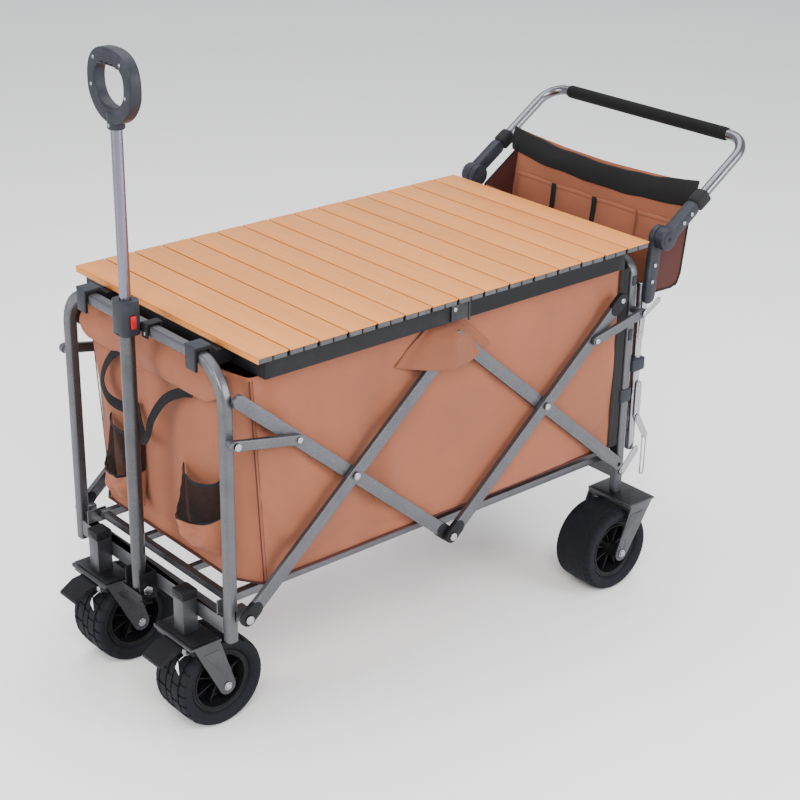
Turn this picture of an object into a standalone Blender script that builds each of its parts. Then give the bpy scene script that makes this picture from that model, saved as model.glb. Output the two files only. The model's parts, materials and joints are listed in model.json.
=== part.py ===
"""Folding camp wagon with a slatted table top, in metres, +Z up.

+X points forward, to the pull handle, and +Y to the wagon's left. The floor is z = 0.
Each moving group hangs from an empty that stands on its joint's axis.
"""

import math

import bmesh
import bpy
from mathutils import Matrix, Vector

# ---- driving dimensions -------------------------------------------------------------

HUB_X = 0.0965              # middle of the scissor, measured from the model's centre

# Side scissors: two X-shaped pairs of bars on each side
PIVOT_Z = 0.2475            # bottom row of pivots
HALF_BAR = 0.293            # end pivot to crossing pivot
BAR_ANGLE = math.radians(40.53)
REAR_BAR_LENGTH = 0.538     # the bar that ends free beside the rear post
BAR_R = 0.012
INNER_LAYER = (0.2385, 0.2475)
OUTER_LAYER = (0.2485, 0.2575)
REAR_LINK_LAYER = (0.2585, 0.2655)
PIN_R = 0.004
HEAD_R = 0.0065
HOLE_R = 0.0043
OPEN_HOLE_R = 0.006         # the top middle pivot, which closes the linkage
GAP = 0.0003

CROSS_X = HALF_BAR * math.cos(BAR_ANGLE)
CROSS_Z = PIVOT_Z + HALF_BAR * math.sin(BAR_ANGLE)
SPAN_X = 2 * CROSS_X
TOP_Z = 2 * CROSS_Z - PIVOT_Z

# Upright frames
POST_X = 0.461
POST_Y = 0.228
TUBE_R = 0.010
HOOP_TOP = 0.685
HOOP_FOOT = 0.200
HOOP_CORNER = 0.070
REAR_TOP = 0.652
REAR_FOOT = 0.1805
CROSSBAR_X = (0.449, 0.469)
CROSSBAR_Z = (0.210, 0.240)
LINK_POST_Z = 0.562
LINK_BAR_X = 0.339

# Wheels and forks
WHEEL_R = 0.083
TYRE_HALF = 0.045
RIM_R = 0.058
FORK_HALF = 0.056
PLATE_TOP = 0.180
PLATE_THICK = 0.004
CASTER_Y = 0.132
SWIVEL_X = 0.484
FRONT_AXLE_X = 0.442
REAR_AXLE_X = -0.416
REAR_WHEEL_Y = 0.240
PEDAL_X = 0.505
PEDAL_Z = 0.1685

# Floor ladders
FLOOR_Z = 0.254
FLOOR_HINGE_X = 0.437
FLOOR_RAIL = 0.007          # half the side of a square rail
FLOOR_ROD = 0.006           # half the side of a rung or an inner rod
FLOOR_ROD_Y = 0.070
FLOOR_RUNGS = (0.0, 0.090, 0.300)
FLOOR_FRONT_Y = 0.190
FLOOR_REAR_Y = 0.206
FOAM_R = 0.0130
FOAM_HALF = 0.205

# Pull handle
PULL_X = 0.489
PULL_PIVOT_Z = 0.212
PULL_R = 0.0125
PULL_TOP = 0.722
INNER_TUBE_R = 0.0095
COLLAR_Z = (0.677, 0.735)
GRIP_FOOT = 1.013
GRIP_TOP = 1.138

# Push handle and its bag
PUSH_POST_X = -0.493
PUSH_X = -0.5105
PUSH_Z = 0.697
PUSH_BAR_X = -0.732
PUSH_BAR_Z = 0.845
PUSH_Y = 0.261
BAG_HALF = 0.235

# Tailgate
GATE_FOOT = 0.250
GATE_TOP = 0.545
GATE_HALF = 0.205

# Tub
TUB_X = 0.430
TUB_Y = 0.234
TUB_Z = (0.282, 0.645)
WALL = 0.004

# Table
TABLE_FRONT = 0.423
TABLE_REAR = -0.462
TABLE_HALF = 0.265
TABLE_TOP = 0.7026
SLAT_THICK = 0.012
SLATS = 15
GROOVE = 0.0012
RAIL_Y = 0.250
RAIL_HALF = 0.009
RAIL_Z = (0.660, 0.690)
CLAMP_Y = 0.160
CLAMP_HALF = 0.014

SIDES = (("left", 1), ("right", -1))

for old in list(bpy.data.objects):
    bpy.data.objects.remove(old, do_unlink=True)


# ---- materials ----------------------------------------------------------------------

def finish(name, colour, roughness, metallic=0.0):
    material = bpy.data.materials.new(name)
    material.use_nodes = True
    shader = material.node_tree.nodes["Principled BSDF"]
    shader.inputs["Base Color"].default_value = (*colour, 1.0)
    shader.inputs["Roughness"].default_value = roughness
    shader.inputs["Metallic"].default_value = metallic
    material.diffuse_color = (*colour, 1.0)
    return material


STEEL = finish("coated_steel", (0.42, 0.42, 0.45), 0.40, 0.6)
BRIGHT = finish("bright_steel", (0.75, 0.75, 0.78), 0.25, 1.0)
PLASTIC = finish("black_plastic", (0.02, 0.02, 0.022), 0.50)
RED = finish("red_plastic", (0.35, 0.02, 0.02), 0.40)
RUBBER = finish("tyre_rubber", (0.025, 0.025, 0.030), 0.80)
FOAM = finish("handle_foam", (0.012, 0.012, 0.012), 0.90)
CANVAS = finish("tan_canvas", (0.45, 0.18, 0.10), 0.90)
SLAT = finish("slat_veneer", (0.80, 0.45, 0.22), 0.50)


# ---- building helpers ---------------------------------------------------------------

def at(x, y, z):
    """A point whose x is measured from the middle of the scissor."""
    return Vector((x + HUB_X, y, z))


def group(name, pivot, parent=None):
    """An empty on a joint's axis, which the moving pieces hang from."""
    empty = bpy.data.objects.new(name + "_axis", None)
    empty.empty_display_size = 0.03
    bpy.context.collection.objects.link(empty)
    empty["pivot"] = tuple(pivot)
    if parent:
        empty.parent = parent
        empty.location = pivot - Vector(parent["pivot"])
    else:
        empty.location = pivot
    return empty


def solid(name, bm, owner, material, sharp=35):
    """Make a named object of a closed mesh given in world coordinates."""
    bmesh.ops.recalc_face_normals(bm, faces=bm.faces)
    bmesh.ops.translate(bm, verts=bm.verts, vec=-Vector(owner["pivot"]))
    mesh = bpy.data.meshes.new(name)
    bm.to_mesh(mesh)
    bm.free()
    mesh.materials.append(material)
    mesh.shade_smooth()
    mesh.set_sharp_from_angle(angle=math.radians(sharp))
    thing = bpy.data.objects.new(name, mesh)
    thing.parent = owner
    bpy.context.collection.objects.link(thing)
    return thing


def combine(thing, other, operation):
    """Join or cut with a second mesh, kept as a hidden wire object."""
    other.hide_render = True
    other.display_type = "WIRE"
    boolean = thing.modifiers.new(other.name, "BOOLEAN")
    boolean.operation = operation
    boolean.object = other
    return thing


def weld(thing, shapes, owner):
    for number, bm in enumerate(shapes):
        extra = solid(f"{thing.name}_weld_{number}", bm, owner, thing.data.materials[0])
        combine(thing, extra, "UNION")
    return thing


def cut(thing, shapes, owner):
    for number, bm in enumerate(shapes):
        extra = solid(f"{thing.name}_cut_{number}", bm, owner, thing.data.materials[0])
        combine(thing, extra, "DIFFERENCE")
    return thing


def box(x, y, z):
    """A box from three (low, high) pairs, x measured from the middle of the scissor."""
    bm = bmesh.new()
    low = at(x[0], y[0], z[0])
    high = at(x[1], y[1], z[1])
    bmesh.ops.create_cube(bm, size=1.0)
    bmesh.ops.scale(bm, verts=bm.verts, vec=high - low)
    bmesh.ops.translate(bm, verts=bm.verts, vec=(low + high) / 2)
    return bm


def mirrored(span, side):
    """A (low, high) pair of y values on the given side."""
    return (span[0], span[1]) if side > 0 else (-span[1], -span[0])


def extruded(outline, start, end):
    """A closed outline of points, moved from start to end by two offset vectors."""
    bm = bmesh.new()
    first = [bm.verts.new(point + start) for point in outline]
    last = [bm.verts.new(point + end) for point in outline]
    count = len(outline)
    bm.faces.new(first)
    bm.faces.new(list(reversed(last)))
    for i in range(count):
        j = (i + 1) % count
        bm.faces.new((first[i], last[i], last[j], first[j]))
    return bm


def plate(points, span):
    """An outline in XZ, given as (x, z) pairs, extruded over a (low, high) pair in y."""
    outline = [at(x, 0, z) for x, z in points]
    return extruded(outline, Vector((0, span[0], 0)), Vector((0, span[1], 0)))


def circle(centre, radius, steps=16):
    return [(centre[0] + radius * math.cos(2 * math.pi * i / steps),
             centre[1] + radius * math.sin(2 * math.pi * i / steps)) for i in range(steps)]


def hull(points):
    """The convex outline round a set of (x, z) points."""
    ordered = sorted(set(points))

    def chain(sequence):
        kept = []
        for p in sequence:
            while len(kept) > 1:
                (ax, az), (bx, bz) = kept[-2], kept[-1]
                if (bx - ax) * (p[1] - az) - (bz - az) * (p[0] - ax) > 1e-12:
                    break
                kept.pop()
            kept.append(p)
        return kept[:-1]

    return chain(ordered) + chain(reversed(ordered))


def strap(start, end, radius, steps=16):
    """The round-ended outline of a flat bar between two (x, z) points."""
    return hull(circle(start, radius, steps) + circle(end, radius, steps))


def turned(profile, centre, axis, steps=16):
    """Revolve (radius, height) points round an axis through centre; a radius of 0 closes."""
    turn = Matrix.Identity(3)
    if axis == "Y":
        turn = Matrix.Rotation(math.radians(-90), 3, "X")
    bm = bmesh.new()
    rings = []
    for radius, height in profile:
        if radius == 0:
            rings.append([bm.verts.new(centre + turn @ Vector((0, 0, height)))] * steps)
            continue
        ring = []
        for i in range(steps):
            angle = 2 * math.pi * i / steps
            spoke = Vector((radius * math.cos(angle), radius * math.sin(angle), height))
            ring.append(bm.verts.new(centre + turn @ spoke))
        rings.append(ring)
    closed = profile[0][0] > 0
    for k in range(len(rings) if closed else len(rings) - 1):
        lower, upper = rings[k], rings[(k + 1) % len(rings)]
        for i in range(steps):
            j = (i + 1) % steps
            corners = []
            for vert in (lower[i], lower[j], upper[j], upper[i]):
                if vert not in corners:
                    corners.append(vert)
            if len(corners) > 2:
                bm.faces.new(corners)
    return bm


def stepped_pin(x, z, side, steps_out, sides=12):
    """A pin along Y made of (radius, outer y) steps, starting at the first y."""
    start = steps_out[0][1]
    profile = [(0, start)]
    last = start
    for radius, y in steps_out[1:]:
        profile += [(radius, last), (radius, y)]
        last = y
    profile.append((0, last))
    profile = [(radius, y * side) for radius, y in profile]
    return turned(profile, at(x, 0, z), "Y", sides)


def bore(x, z, span, radius, sides=12):
    """A cutting cylinder along Y."""
    return turned([(0, span[0]), (radius, span[0]), (radius, span[1]), (0, span[1])],
                  at(x, 0, z), "Y", sides)


def bent(points, radius, steps=6, loop=False):
    """Round the corners of a run of points with arcs of the given radius."""
    count = len(points)
    result = []
    for i, corner in enumerate(points):
        if not loop and i in (0, count - 1):
            result.append(corner)
            continue
        before = (points[i - 1] - corner).normalized()
        after = (points[(i + 1) % count] - corner).normalized()
        half = before.angle(after) / 2
        reach = radius / math.tan(half)
        centre = corner + (before + after).normalized() * (radius / math.sin(half))
        first = corner + before * reach - centre
        last = corner + after * reach - centre
        for k in range(steps + 1):
            result.append(centre + radius * first.slerp(last, k / steps))
    return result


def swept(path, radius, sides=12, loop=False):
    """A round bar along a run of points."""
    bm = bmesh.new()
    count = len(path)
    rings = []
    previous = None
    for i, point in enumerate(path):
        ahead = path[(i + 1) % count] if loop or i < count - 1 else point
        behind = path[i - 1] if loop or i > 0 else point
        tangent = (ahead - behind).normalized()
        if previous is None:
            normal = tangent.orthogonal().normalized()
        else:
            normal = (previous - tangent * previous.dot(tangent)).normalized()
        previous = normal
        across = tangent.cross(normal)
        rings.append([bm.verts.new(point + radius * (normal * math.cos(2 * math.pi * k / sides)
                                                     + across * math.sin(2 * math.pi * k / sides)))
                      for k in range(sides)])
    for i in range(count if loop else count - 1):
        here, there = rings[i], rings[(i + 1) % count]
        for k in range(sides):
            m = (k + 1) % sides
            bm.faces.new((here[k], here[m], there[m], there[k]))
    if not loop:
        bm.faces.new(rings[0])
        bm.faces.new(rings[-1])
    return bm


# ---- front frame --------------------------------------------------------------------

ROOT = group("front_frame", Vector((0, 0, 0)))


def front_frame():
    path = bent([at(POST_X, POST_Y, HOOP_FOOT), at(POST_X, POST_Y, HOOP_TOP),
                 at(POST_X, -POST_Y, HOOP_TOP), at(POST_X, -POST_Y, HOOP_FOOT)], HOOP_CORNER)
    hoop = solid("front_hoop", swept(path, TUBE_R), ROOT, STEEL)
    extras = []
    spacer = OUTER_LAYER[0] - GAP
    head = OUTER_LAYER[1] + GAP
    for _, side in SIDES:
        lug_y = mirrored((0.222, INNER_LAYER[0] - 2 * GAP), side)
        extras.append(box((SPAN_X - 0.012, POST_X), lug_y, (PIVOT_Z - 0.012, PIVOT_Z + 0.012)))
        extras.append(stepped_pin(SPAN_X, PIVOT_Z, side,
                                  ((0, 0.230), (0.009, spacer), (PIN_R, head), (HEAD_R, head + 0.0024))))
        extras.append(stepped_pin(POST_X, LINK_POST_Z, side,
                                  ((0, 0.230), (0.007, spacer), (PIN_R, head), (HEAD_R, head + 0.0024))))
    weld(hoop, extras, ROOT)

    half = POST_Y - TUBE_R - 0.0005
    crossbar = solid("front_crossbar", box(CROSSBAR_X, (-half, half), CROSSBAR_Z), ROOT, STEEL)
    ears = [box((FLOOR_HINGE_X - 0.008, CROSSBAR_X[1] - 0.001), mirrored((FLOOR_FRONT_Y + 0.008, FLOOR_FRONT_Y + 0.0112), side),
                (CROSSBAR_Z[1] - 0.004, FLOOR_Z + 0.010)) for _, side in SIDES]
    weld(crossbar, ears, ROOT)

    for label, side in SIDES:
        centre = CASTER_Y * side
        post = box((CROSSBAR_X[1] + GAP, CROSSBAR_X[1] + 0.030), (centre - 0.0145, centre + 0.0145),
                   (PLATE_TOP + 0.0033, 0.262))
        solid(f"caster_post_{label}", post, ROOT, STEEL)

    outline = [(0.4693, -0.023), (0.503, -0.023), (0.503, -0.020), (0.4723, -0.020),
               (0.4723, 0.020), (0.503, 0.020), (0.503, 0.023), (0.4693, 0.023)]
    cheeks = extruded([at(x, y, 0) for x, y in outline], Vector((0, 0, 0.192)), Vector((0, 0, 0.243)))
    bracket = solid("handle_bracket", cheeks, ROOT, STEEL)
    cut(bracket, [bore(PULL_X, PULL_PIVOT_Z, (-0.03, 0.03), HOLE_R)], ROOT)

    bolt_steps = [(0, -0.027), (0.007, -0.027), (0.007, -0.0233), (PIN_R, -0.0233),
                  (PIN_R, 0.0233), (0.007, 0.0233), (0.007, 0.027), (0, 0.027)]
    solid("handle_bolt", turned(bolt_steps, at(PULL_X, 0, PULL_PIVOT_Z), "Y"), ROOT, BRIGHT)

    # A catch on the hoop's top bar that the pull handle's tube snaps into
    catch_points = [(0.4455, 0.672), (0.4505, 0.672), (0.4505, 0.6965), (0.4725, 0.6965),
                    (0.4725, 0.6745), (0.4755, 0.6745), (0.4755, 0.7000), (0.4455, 0.7000)]
    solid("handle_catch", plate(catch_points, (0.0215, 0.0390)), ROOT, PLASTIC)


# ---- wheels -------------------------------------------------------------------------

def fork(name, owner, centre_y, plate_x, axle_x, stem_x=None):
    """A plate bent into a U: a flat top and two legs that slope to the axle."""
    outer = (centre_y - FORK_HALF, centre_y + FORK_HALF)
    top = solid(name, box(plate_x, outer, (PLATE_TOP - PLATE_THICK, PLATE_TOP)), owner, STEEL)
    leg = hull([(plate_x[0] + 0.004, PLATE_TOP - 0.0005), (plate_x[1] - 0.004, PLATE_TOP - 0.0005)]
               + circle((axle_x, WHEEL_R), 0.016))
    extras = [plate(leg, (outer[0] + 0.0001, outer[0] + 0.0035)),
              plate(leg, (outer[1] - 0.0035, outer[1] - 0.0001))]
    if stem_x is not None:
        stem = [(0, PLATE_TOP - 0.002), (0.010, PLATE_TOP - 0.002), (0.010, PLATE_TOP + 0.003),
                (0, PLATE_TOP + 0.003)]
        extras.append(turned(stem, at(stem_x, centre_y, 0), "Z"))
    weld(top, extras, owner)
    cut(top, [bore(axle_x, WHEEL_R, (outer[0] - 0.01, outer[1] + 0.01), HOLE_R)], owner)


def axle(name, owner, centre_y, axle_x):
    face = FORK_HALF + GAP
    end = face + 0.0045
    profile = [(0, -end), (0.008, -end), (0.008, -face), (PIN_R, -face),
               (PIN_R, face), (0.008, face), (0.008, end), (0, end)]
    solid(name, turned(profile, at(axle_x, centre_y, WHEEL_R), "Y"), owner, BRIGHT)


def wheel(label, owner, centre_y, axle_x):
    centre = at(axle_x, centre_y, WHEEL_R)
    half_tyre = [(RIM_R, 0.036), (0.066, 0.043), (0.074, TYRE_HALF), (0.080, 0.041),
                 (0.0825, 0.034), (WHEEL_R, 0.020)]
    tread = half_tyre + [(radius, -y) for radius, y in reversed(half_tyre)]
    solid(f"tyre_{label}", turned(tread, centre, "Y", 32), owner, RUBBER)
    half_hub = [(HOLE_R, 0.049), (0.014, 0.049), (0.014, 0.010), (0.046, 0.010),
                (0.050, 0.036), (RIM_R - 0.0005, 0.038)]
    disc = half_hub + [(radius, -y) for radius, y in reversed(half_hub)]
    solid(f"hub_{label}", turned(disc, centre, "Y", 32), owner, PLASTIC)


def casters():
    for label, side in SIDES:
        centre = CASTER_Y * side
        swivel = group(f"caster_{label}", at(SWIVEL_X, centre, PLATE_TOP), ROOT)
        fork(f"front_fork_{label}", swivel, centre, (0.452, 0.512), FRONT_AXLE_X, SWIVEL_X)
        axle(f"front_axle_{label}", swivel, centre, FRONT_AXLE_X)
        spin = group(f"front_wheel_{label}", at(FRONT_AXLE_X, centre, WHEEL_R), swivel)
        wheel(f"front_{label}", spin, centre, FRONT_AXLE_X)

        lever = group(f"brake_{label}", at(PEDAL_X, centre, PEDAL_Z), swivel)
        reach = FORK_HALF - 0.0040
        barrel = [(0, -reach), (0.0045, -reach), (0.0045, reach), (0, reach)]
        pedal = solid(f"brake_pedal_{label}", turned(barrel, at(PEDAL_X, centre, PEDAL_Z), "Y", 12),
                      lever, PLASTIC)
        blade = [(0.503, 0.1655), (0.503, 0.1715), (0.530, 0.1680), (0.556, 0.1520),
                 (0.556, 0.1470), (0.528, 0.1600)]
        weld(pedal, [plate(blade, (centre - 0.026, centre + 0.026))], lever)


# ---- scissors and links -------------------------------------------------------------

def bar(name, owner, start, end, span, side):
    outline = strap(start, end, BAR_R)
    return solid(name, plate(outline, mirrored(span, side)), owner, STEEL)


def bar_pin(x, z, side):
    """A pin rooted in an inner bar that runs through the outer bar to a head outside it."""
    head = OUTER_LAYER[1] + GAP
    return stepped_pin(x, z, side, ((0, 0.243), (PIN_R, head), (HEAD_R, head + 0.0024)))


def scissor(label, side):
    """Four bars hung one from the next, so that the last one carries the rear frame."""
    hole = mirrored((0.230, 0.270), side)
    first = group(f"bar_a_{label}", at(SPAN_X, 0, PIVOT_Z), ROOT)
    second = group(f"bar_b_{label}", at(CROSS_X, 0, CROSS_Z), first)
    third = group(f"bar_c_{label}", at(0, 0, PIVOT_Z), second)
    fourth = group(f"bar_d_{label}", at(-CROSS_X, 0, CROSS_Z), third)

    outer_front = bar(f"scissor_bar_a_{label}", first, (SPAN_X, PIVOT_Z), (0, TOP_Z), OUTER_LAYER, side)
    cut(outer_front, [bore(SPAN_X, PIVOT_Z, hole, HOLE_R), bore(CROSS_X, CROSS_Z, hole, HOLE_R),
                      bore(0, TOP_Z, hole, OPEN_HOLE_R)], first)

    inner_front = bar(f"scissor_bar_b_{label}", second, (0, PIVOT_Z), (SPAN_X, TOP_Z), INNER_LAYER, side)
    weld(inner_front, [bar_pin(0, PIVOT_Z, side), bar_pin(CROSS_X, CROSS_Z, side)], second)

    top_end = (-REAR_BAR_LENGTH * math.cos(BAR_ANGLE), PIVOT_Z + REAR_BAR_LENGTH * math.sin(BAR_ANGLE))
    outer_rear = bar(f"scissor_bar_c_{label}", third, (0, PIVOT_Z), top_end, OUTER_LAYER, side)
    cut(outer_rear, [bore(0, PIVOT_Z, hole, HOLE_R), bore(-CROSS_X, CROSS_Z, hole, HOLE_R)], third)

    inner_rear = bar(f"scissor_bar_d_{label}", fourth, (-SPAN_X, PIVOT_Z), (0, TOP_Z), INNER_LAYER, side)
    weld(inner_rear, [bar_pin(-CROSS_X, CROSS_Z, side), bar_pin(0, TOP_Z, side)], fourth)
    cut(inner_rear, [bore(-SPAN_X, PIVOT_Z, hole, HOLE_R)], fourth)
    return fourth


def link(name, parent, side, end, span):
    """A short strap from a post to the bar beside it; end is +1 in front and -1 behind."""
    pivot = group(name, at(POST_X * end, 0, LINK_POST_Z), parent)
    bar_z = CROSS_Z + (LINK_BAR_X - CROSS_X) * math.tan(BAR_ANGLE)
    outline = strap((POST_X * end, LINK_POST_Z), (LINK_BAR_X * end, bar_z), 0.009)
    strip = solid(name, plate(outline, mirrored(span, side)), pivot, STEEL)
    cut(strip, [bore(POST_X * end, LINK_POST_Z, mirrored((0.230, 0.280), side), HOLE_R)], pivot)


# ---- floor --------------------------------------------------------------------------

def floor_ladder(name, parent, end, rail_y):
    """Two rails, three rungs and two inner rods, hinged on an end frame, reaching to the wagon's middle."""
    hinge = group(name, at(FLOOR_HINGE_X * end, 0, FLOOR_Z), parent)
    along = (0.002, FLOOR_HINGE_X + 0.007)
    if end < 0:
        along = (-along[1], -along[0])
    height = (FLOOR_Z - FLOOR_RAIL, FLOOR_Z + FLOOR_RAIL)
    rails = [box(along, mirrored((rail_y - FLOOR_RAIL, rail_y + FLOOR_RAIL), side), height)
             for _, side in SIDES]
    ladder = solid(name, rails[0], hinge, STEEL)
    thick = (FLOOR_Z - FLOOR_ROD, FLOOR_Z + FLOOR_ROD)
    rungs = []
    for place in FLOOR_RUNGS:
        x = (FLOOR_HINGE_X - place) * end
        rungs.append(box((x - FLOOR_ROD, x + FLOOR_ROD), (-rail_y, rail_y), thick))
    run = sorted((FLOOR_HINGE_X - place) * end for place in (FLOOR_RUNGS[0], FLOOR_RUNGS[-1]))
    rods = [box(run, mirrored((FLOOR_ROD_Y - FLOOR_ROD, FLOOR_ROD_Y + FLOOR_ROD), side), thick)
            for _, side in SIDES]
    weld(ladder, [rungs[0], rails[1]] + rungs[1:] + rods, hinge)


# ---- rear frame ---------------------------------------------------------------------

def rear_frame(carrier):
    owner = group("rear_frame", at(-SPAN_X, 0, PIVOT_Z), carrier)
    path = bent([at(-POST_X, POST_Y, REAR_FOOT), at(-POST_X, POST_Y, REAR_TOP),
                 at(-POST_X, -POST_Y, REAR_TOP), at(-POST_X, -POST_Y, REAR_FOOT)], 0.025, 4)
    frame = solid("rear_hoop", swept(path, TUBE_R), owner, STEEL)
    extras = [box((-CROSSBAR_X[1], -CROSSBAR_X[0]), (-POST_Y, POST_Y), CROSSBAR_Z)]
    bar_head = INNER_LAYER[1] + GAP
    link_base = REAR_LINK_LAYER[0] - GAP
    link_head = REAR_LINK_LAYER[1] + GAP
    for _, side in SIDES:
        lug_y = mirrored((0.222, INNER_LAYER[0] - 2 * GAP), side)
        extras.append(box((-POST_X, 0.012 - SPAN_X), lug_y, (PIVOT_Z - 0.012, PIVOT_Z + 0.012)))
        extras.append(stepped_pin(-SPAN_X, PIVOT_Z, side,
                                  ((0, 0.230), (PIN_R, bar_head), (HEAD_R, bar_head + 0.0005))))
        extras.append(stepped_pin(-POST_X, LINK_POST_Z, side,
                                  ((0, 0.230), (0.007, link_base), (PIN_R, link_head),
                                   (HEAD_R, link_head + 0.0024))))
        extras.append(box((-0.4847, -CROSSBAR_X[1] + 0.001), mirrored((0.150, 0.170), side),
                          (CROSSBAR_Z[0] + 0.002, GATE_FOOT + 0.006)))
    weld(frame, extras, owner)

    for label, side in SIDES:
        centre = REAR_WHEEL_Y * side
        fork(f"rear_fork_{label}", owner, centre, (-0.500, -0.432), REAR_AXLE_X)
        axle(f"rear_axle_{label}", owner, centre, REAR_AXLE_X)
        spin = group(f"rear_wheel_{label}", at(REAR_AXLE_X, centre, WHEEL_R), owner)
        wheel(f"rear_{label}", spin, centre, REAR_AXLE_X)

        tube = [(0, 0.262), (0.009, 0.262), (0.009, 0.606), (0, 0.606)]
        solid(f"push_post_{label}", turned(tube, at(PUSH_POST_X, POST_Y * side, 0), "Z"), owner, STEEL)

        flat = mirrored((0.2378, 0.2500), side)
        lower = solid(f"push_bracket_{label}", plate(circle((PUSH_X, PUSH_Z), 0.022, 24), flat),
                      owner, PLASTIC)
        stem = strap((PUSH_POST_X, 0.578), (PUSH_X, PUSH_Z), 0.011)
        weld(lower, [plate(stem, mirrored((0.2379, 0.2499), side)),
                     stepped_pin(PUSH_X, PUSH_Z, side, ((0, 0.245), (0.005, 0.2570)))], owner)

        lever = group(f"latch_{label}", at(PUSH_POST_X, POST_Y * side, 0.400), owner)
        outline = strap((PUSH_POST_X, 0.400), (PUSH_POST_X, 0.335), 0.008)
        solid(f"latch_{label}", plate(outline, mirrored((0.2376, 0.2420), side)), lever, BRIGHT)
    return owner


def tailgate(parent):
    hinge = group("tailgate", at(PUSH_POST_X, 0, GATE_FOOT), parent)
    corners = [at(PUSH_POST_X, y, z) for y, z in
               ((GATE_HALF, GATE_FOOT), (GATE_HALF, GATE_TOP), (-GATE_HALF, GATE_TOP), (-GATE_HALF, GATE_FOOT))]
    loop = bent(corners, 0.020, 4, loop=True)
    solid("tailgate_frame", swept(loop, 0.008, 10, loop=True), hinge, STEEL)


def push_handle(parent):
    pivot = group("push_handle", at(PUSH_X, 0, PUSH_Z), parent)
    path = bent([at(PUSH_X, PUSH_Y, PUSH_Z), at(PUSH_BAR_X, PUSH_Y, PUSH_BAR_Z),
                 at(PUSH_BAR_X, -PUSH_Y, PUSH_BAR_Z), at(PUSH_X, -PUSH_Y, PUSH_Z)], 0.045)
    bow = solid("push_handle_bow", swept(path, TUBE_R), pivot, BRIGHT)
    discs = [plate(circle((PUSH_X, PUSH_Z), 0.022, 24), mirrored((0.2503, 0.2720), side))
             for _, side in SIDES]
    weld(bow, discs, pivot)
    cut(bow, [bore(PUSH_X, PUSH_Z, mirrored((0.240, 0.2575), side), 0.0053) for _, side in SIDES], pivot)

    sleeve = [(TUBE_R + GAP, -FOAM_HALF), (TUBE_R + GAP, FOAM_HALF),
              (FOAM_R, FOAM_HALF), (FOAM_R, -FOAM_HALF)]
    solid("foam_grip", turned(sleeve, at(PUSH_BAR_X, 0, PUSH_BAR_Z), "Y"), pivot, FOAM)

    pouch = [(-0.525, 0.580), (-0.520, 0.680), (-0.6030, 0.735), (-0.618, 0.782), (-0.592, 0.577)]
    bag = solid("storage_bag", plate(pouch, (-BAG_HALF, BAG_HALF)), pivot, CANVAS)
    hollow = [(-0.5292, 0.584), (-0.524, 0.720), (-0.590, 0.820), (-0.6180, 0.820), (-0.5885, 0.581)]
    inside = BAG_HALF - WALL
    cut(bag, [plate(hollow, (-inside, inside))], pivot)


# ---- pull handle --------------------------------------------------------------------

def rounded_box_outline(half_x, half_y, radius, centre_x, steps=3):
    points = []
    for quarter in range(4):
        cx = centre_x + (half_x - radius) * (1 if quarter in (0, 3) else -1)
        cy = (half_y - radius) * (1 if quarter in (0, 1) else -1)
        for k in range(steps + 1):
            angle = math.pi / 2 * (quarter + k / steps)
            points.append(at(cx + radius * math.cos(angle), cy + radius * math.sin(angle), 0))
    return points


def pull_handle():
    tilt = group("pull_handle", at(PULL_X, 0, PULL_PIVOT_Z), ROOT)
    foot = PULL_PIVOT_Z - 0.008
    tube = [(0, foot), (PULL_R, foot), (PULL_R, PULL_TOP), (0.0100, PULL_TOP), (0.0100, 0.300), (0, 0.300)]
    lower = solid("pull_tube_lower", turned(tube, at(PULL_X, 0, 0), "Z"), tilt, STEEL)
    cut(lower, [bore(PULL_X, PULL_PIVOT_Z, (-0.03, 0.03), HOLE_R)], tilt)

    outline = rounded_box_outline(0.0175, 0.0200, 0.010, PULL_X)
    collar = solid("pull_collar", extruded(outline, Vector((0, 0, COLLAR_Z[0])), Vector((0, 0, COLLAR_Z[1]))),
                   tilt, PLASTIC)
    step = PULL_TOP + GAP
    throat = [(0, 0.660), (PULL_R + GAP, 0.660), (PULL_R + GAP, step), (INNER_TUBE_R + 0.0004, step),
              (INNER_TUBE_R + 0.0004, 0.750), (0, 0.750)]
    pocket = box((PULL_X - 0.0058, PULL_X + 0.0058), (0.0150, 0.030), (0.6890, 0.7130))
    cut(collar, [turned(throat, at(PULL_X, 0, 0), "Z"), pocket], tilt)

    press = group("release_button", at(PULL_X, 0.020, 0.701), tilt)
    solid("release_button", box((PULL_X - 0.005, PULL_X + 0.005), (0.0190, 0.0240), (0.6900, 0.7120)),
          press, RED)

    reach = group("pull_extension", at(PULL_X, 0, PULL_TOP), tilt)
    rod = [(0, 0.360), (INNER_TUBE_R, 0.360), (INNER_TUBE_R, GRIP_FOOT - GAP), (0, GRIP_FOOT - GAP)]
    solid("pull_tube_upper", turned(rod, at(PULL_X, 0, 0), "Z"), reach, BRIGHT)

    middle = (GRIP_FOOT + GRIP_TOP) / 2 + 0.003
    tall = GRIP_TOP - middle
    outer = [at(PULL_X, 0.061 * math.cos(2 * math.pi * k / 32), middle + tall * math.sin(2 * math.pi * k / 32))
             for k in range(32)]
    inner = [at(PULL_X, 0.041 * math.cos(2 * math.pi * k / 24),
                middle + 0.004 + 0.036 * math.sin(2 * math.pi * k / 24)) for k in range(24)]
    grip = solid("pull_grip", extruded(outer, Vector((-0.0115, 0, 0)), Vector((0.0115, 0, 0))), reach, PLASTIC)
    neck = [(0, GRIP_FOOT), (0.0135, GRIP_FOOT), (0.0135, GRIP_FOOT + 0.016), (0, GRIP_FOOT + 0.016)]
    weld(grip, [turned(neck, at(PULL_X, 0, 0), "Z")], reach)
    cut(grip, [extruded(inner, Vector((-0.03, 0, 0)), Vector((0.03, 0, 0)))], reach)


# ---- tub and table ------------------------------------------------------------------

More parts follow.
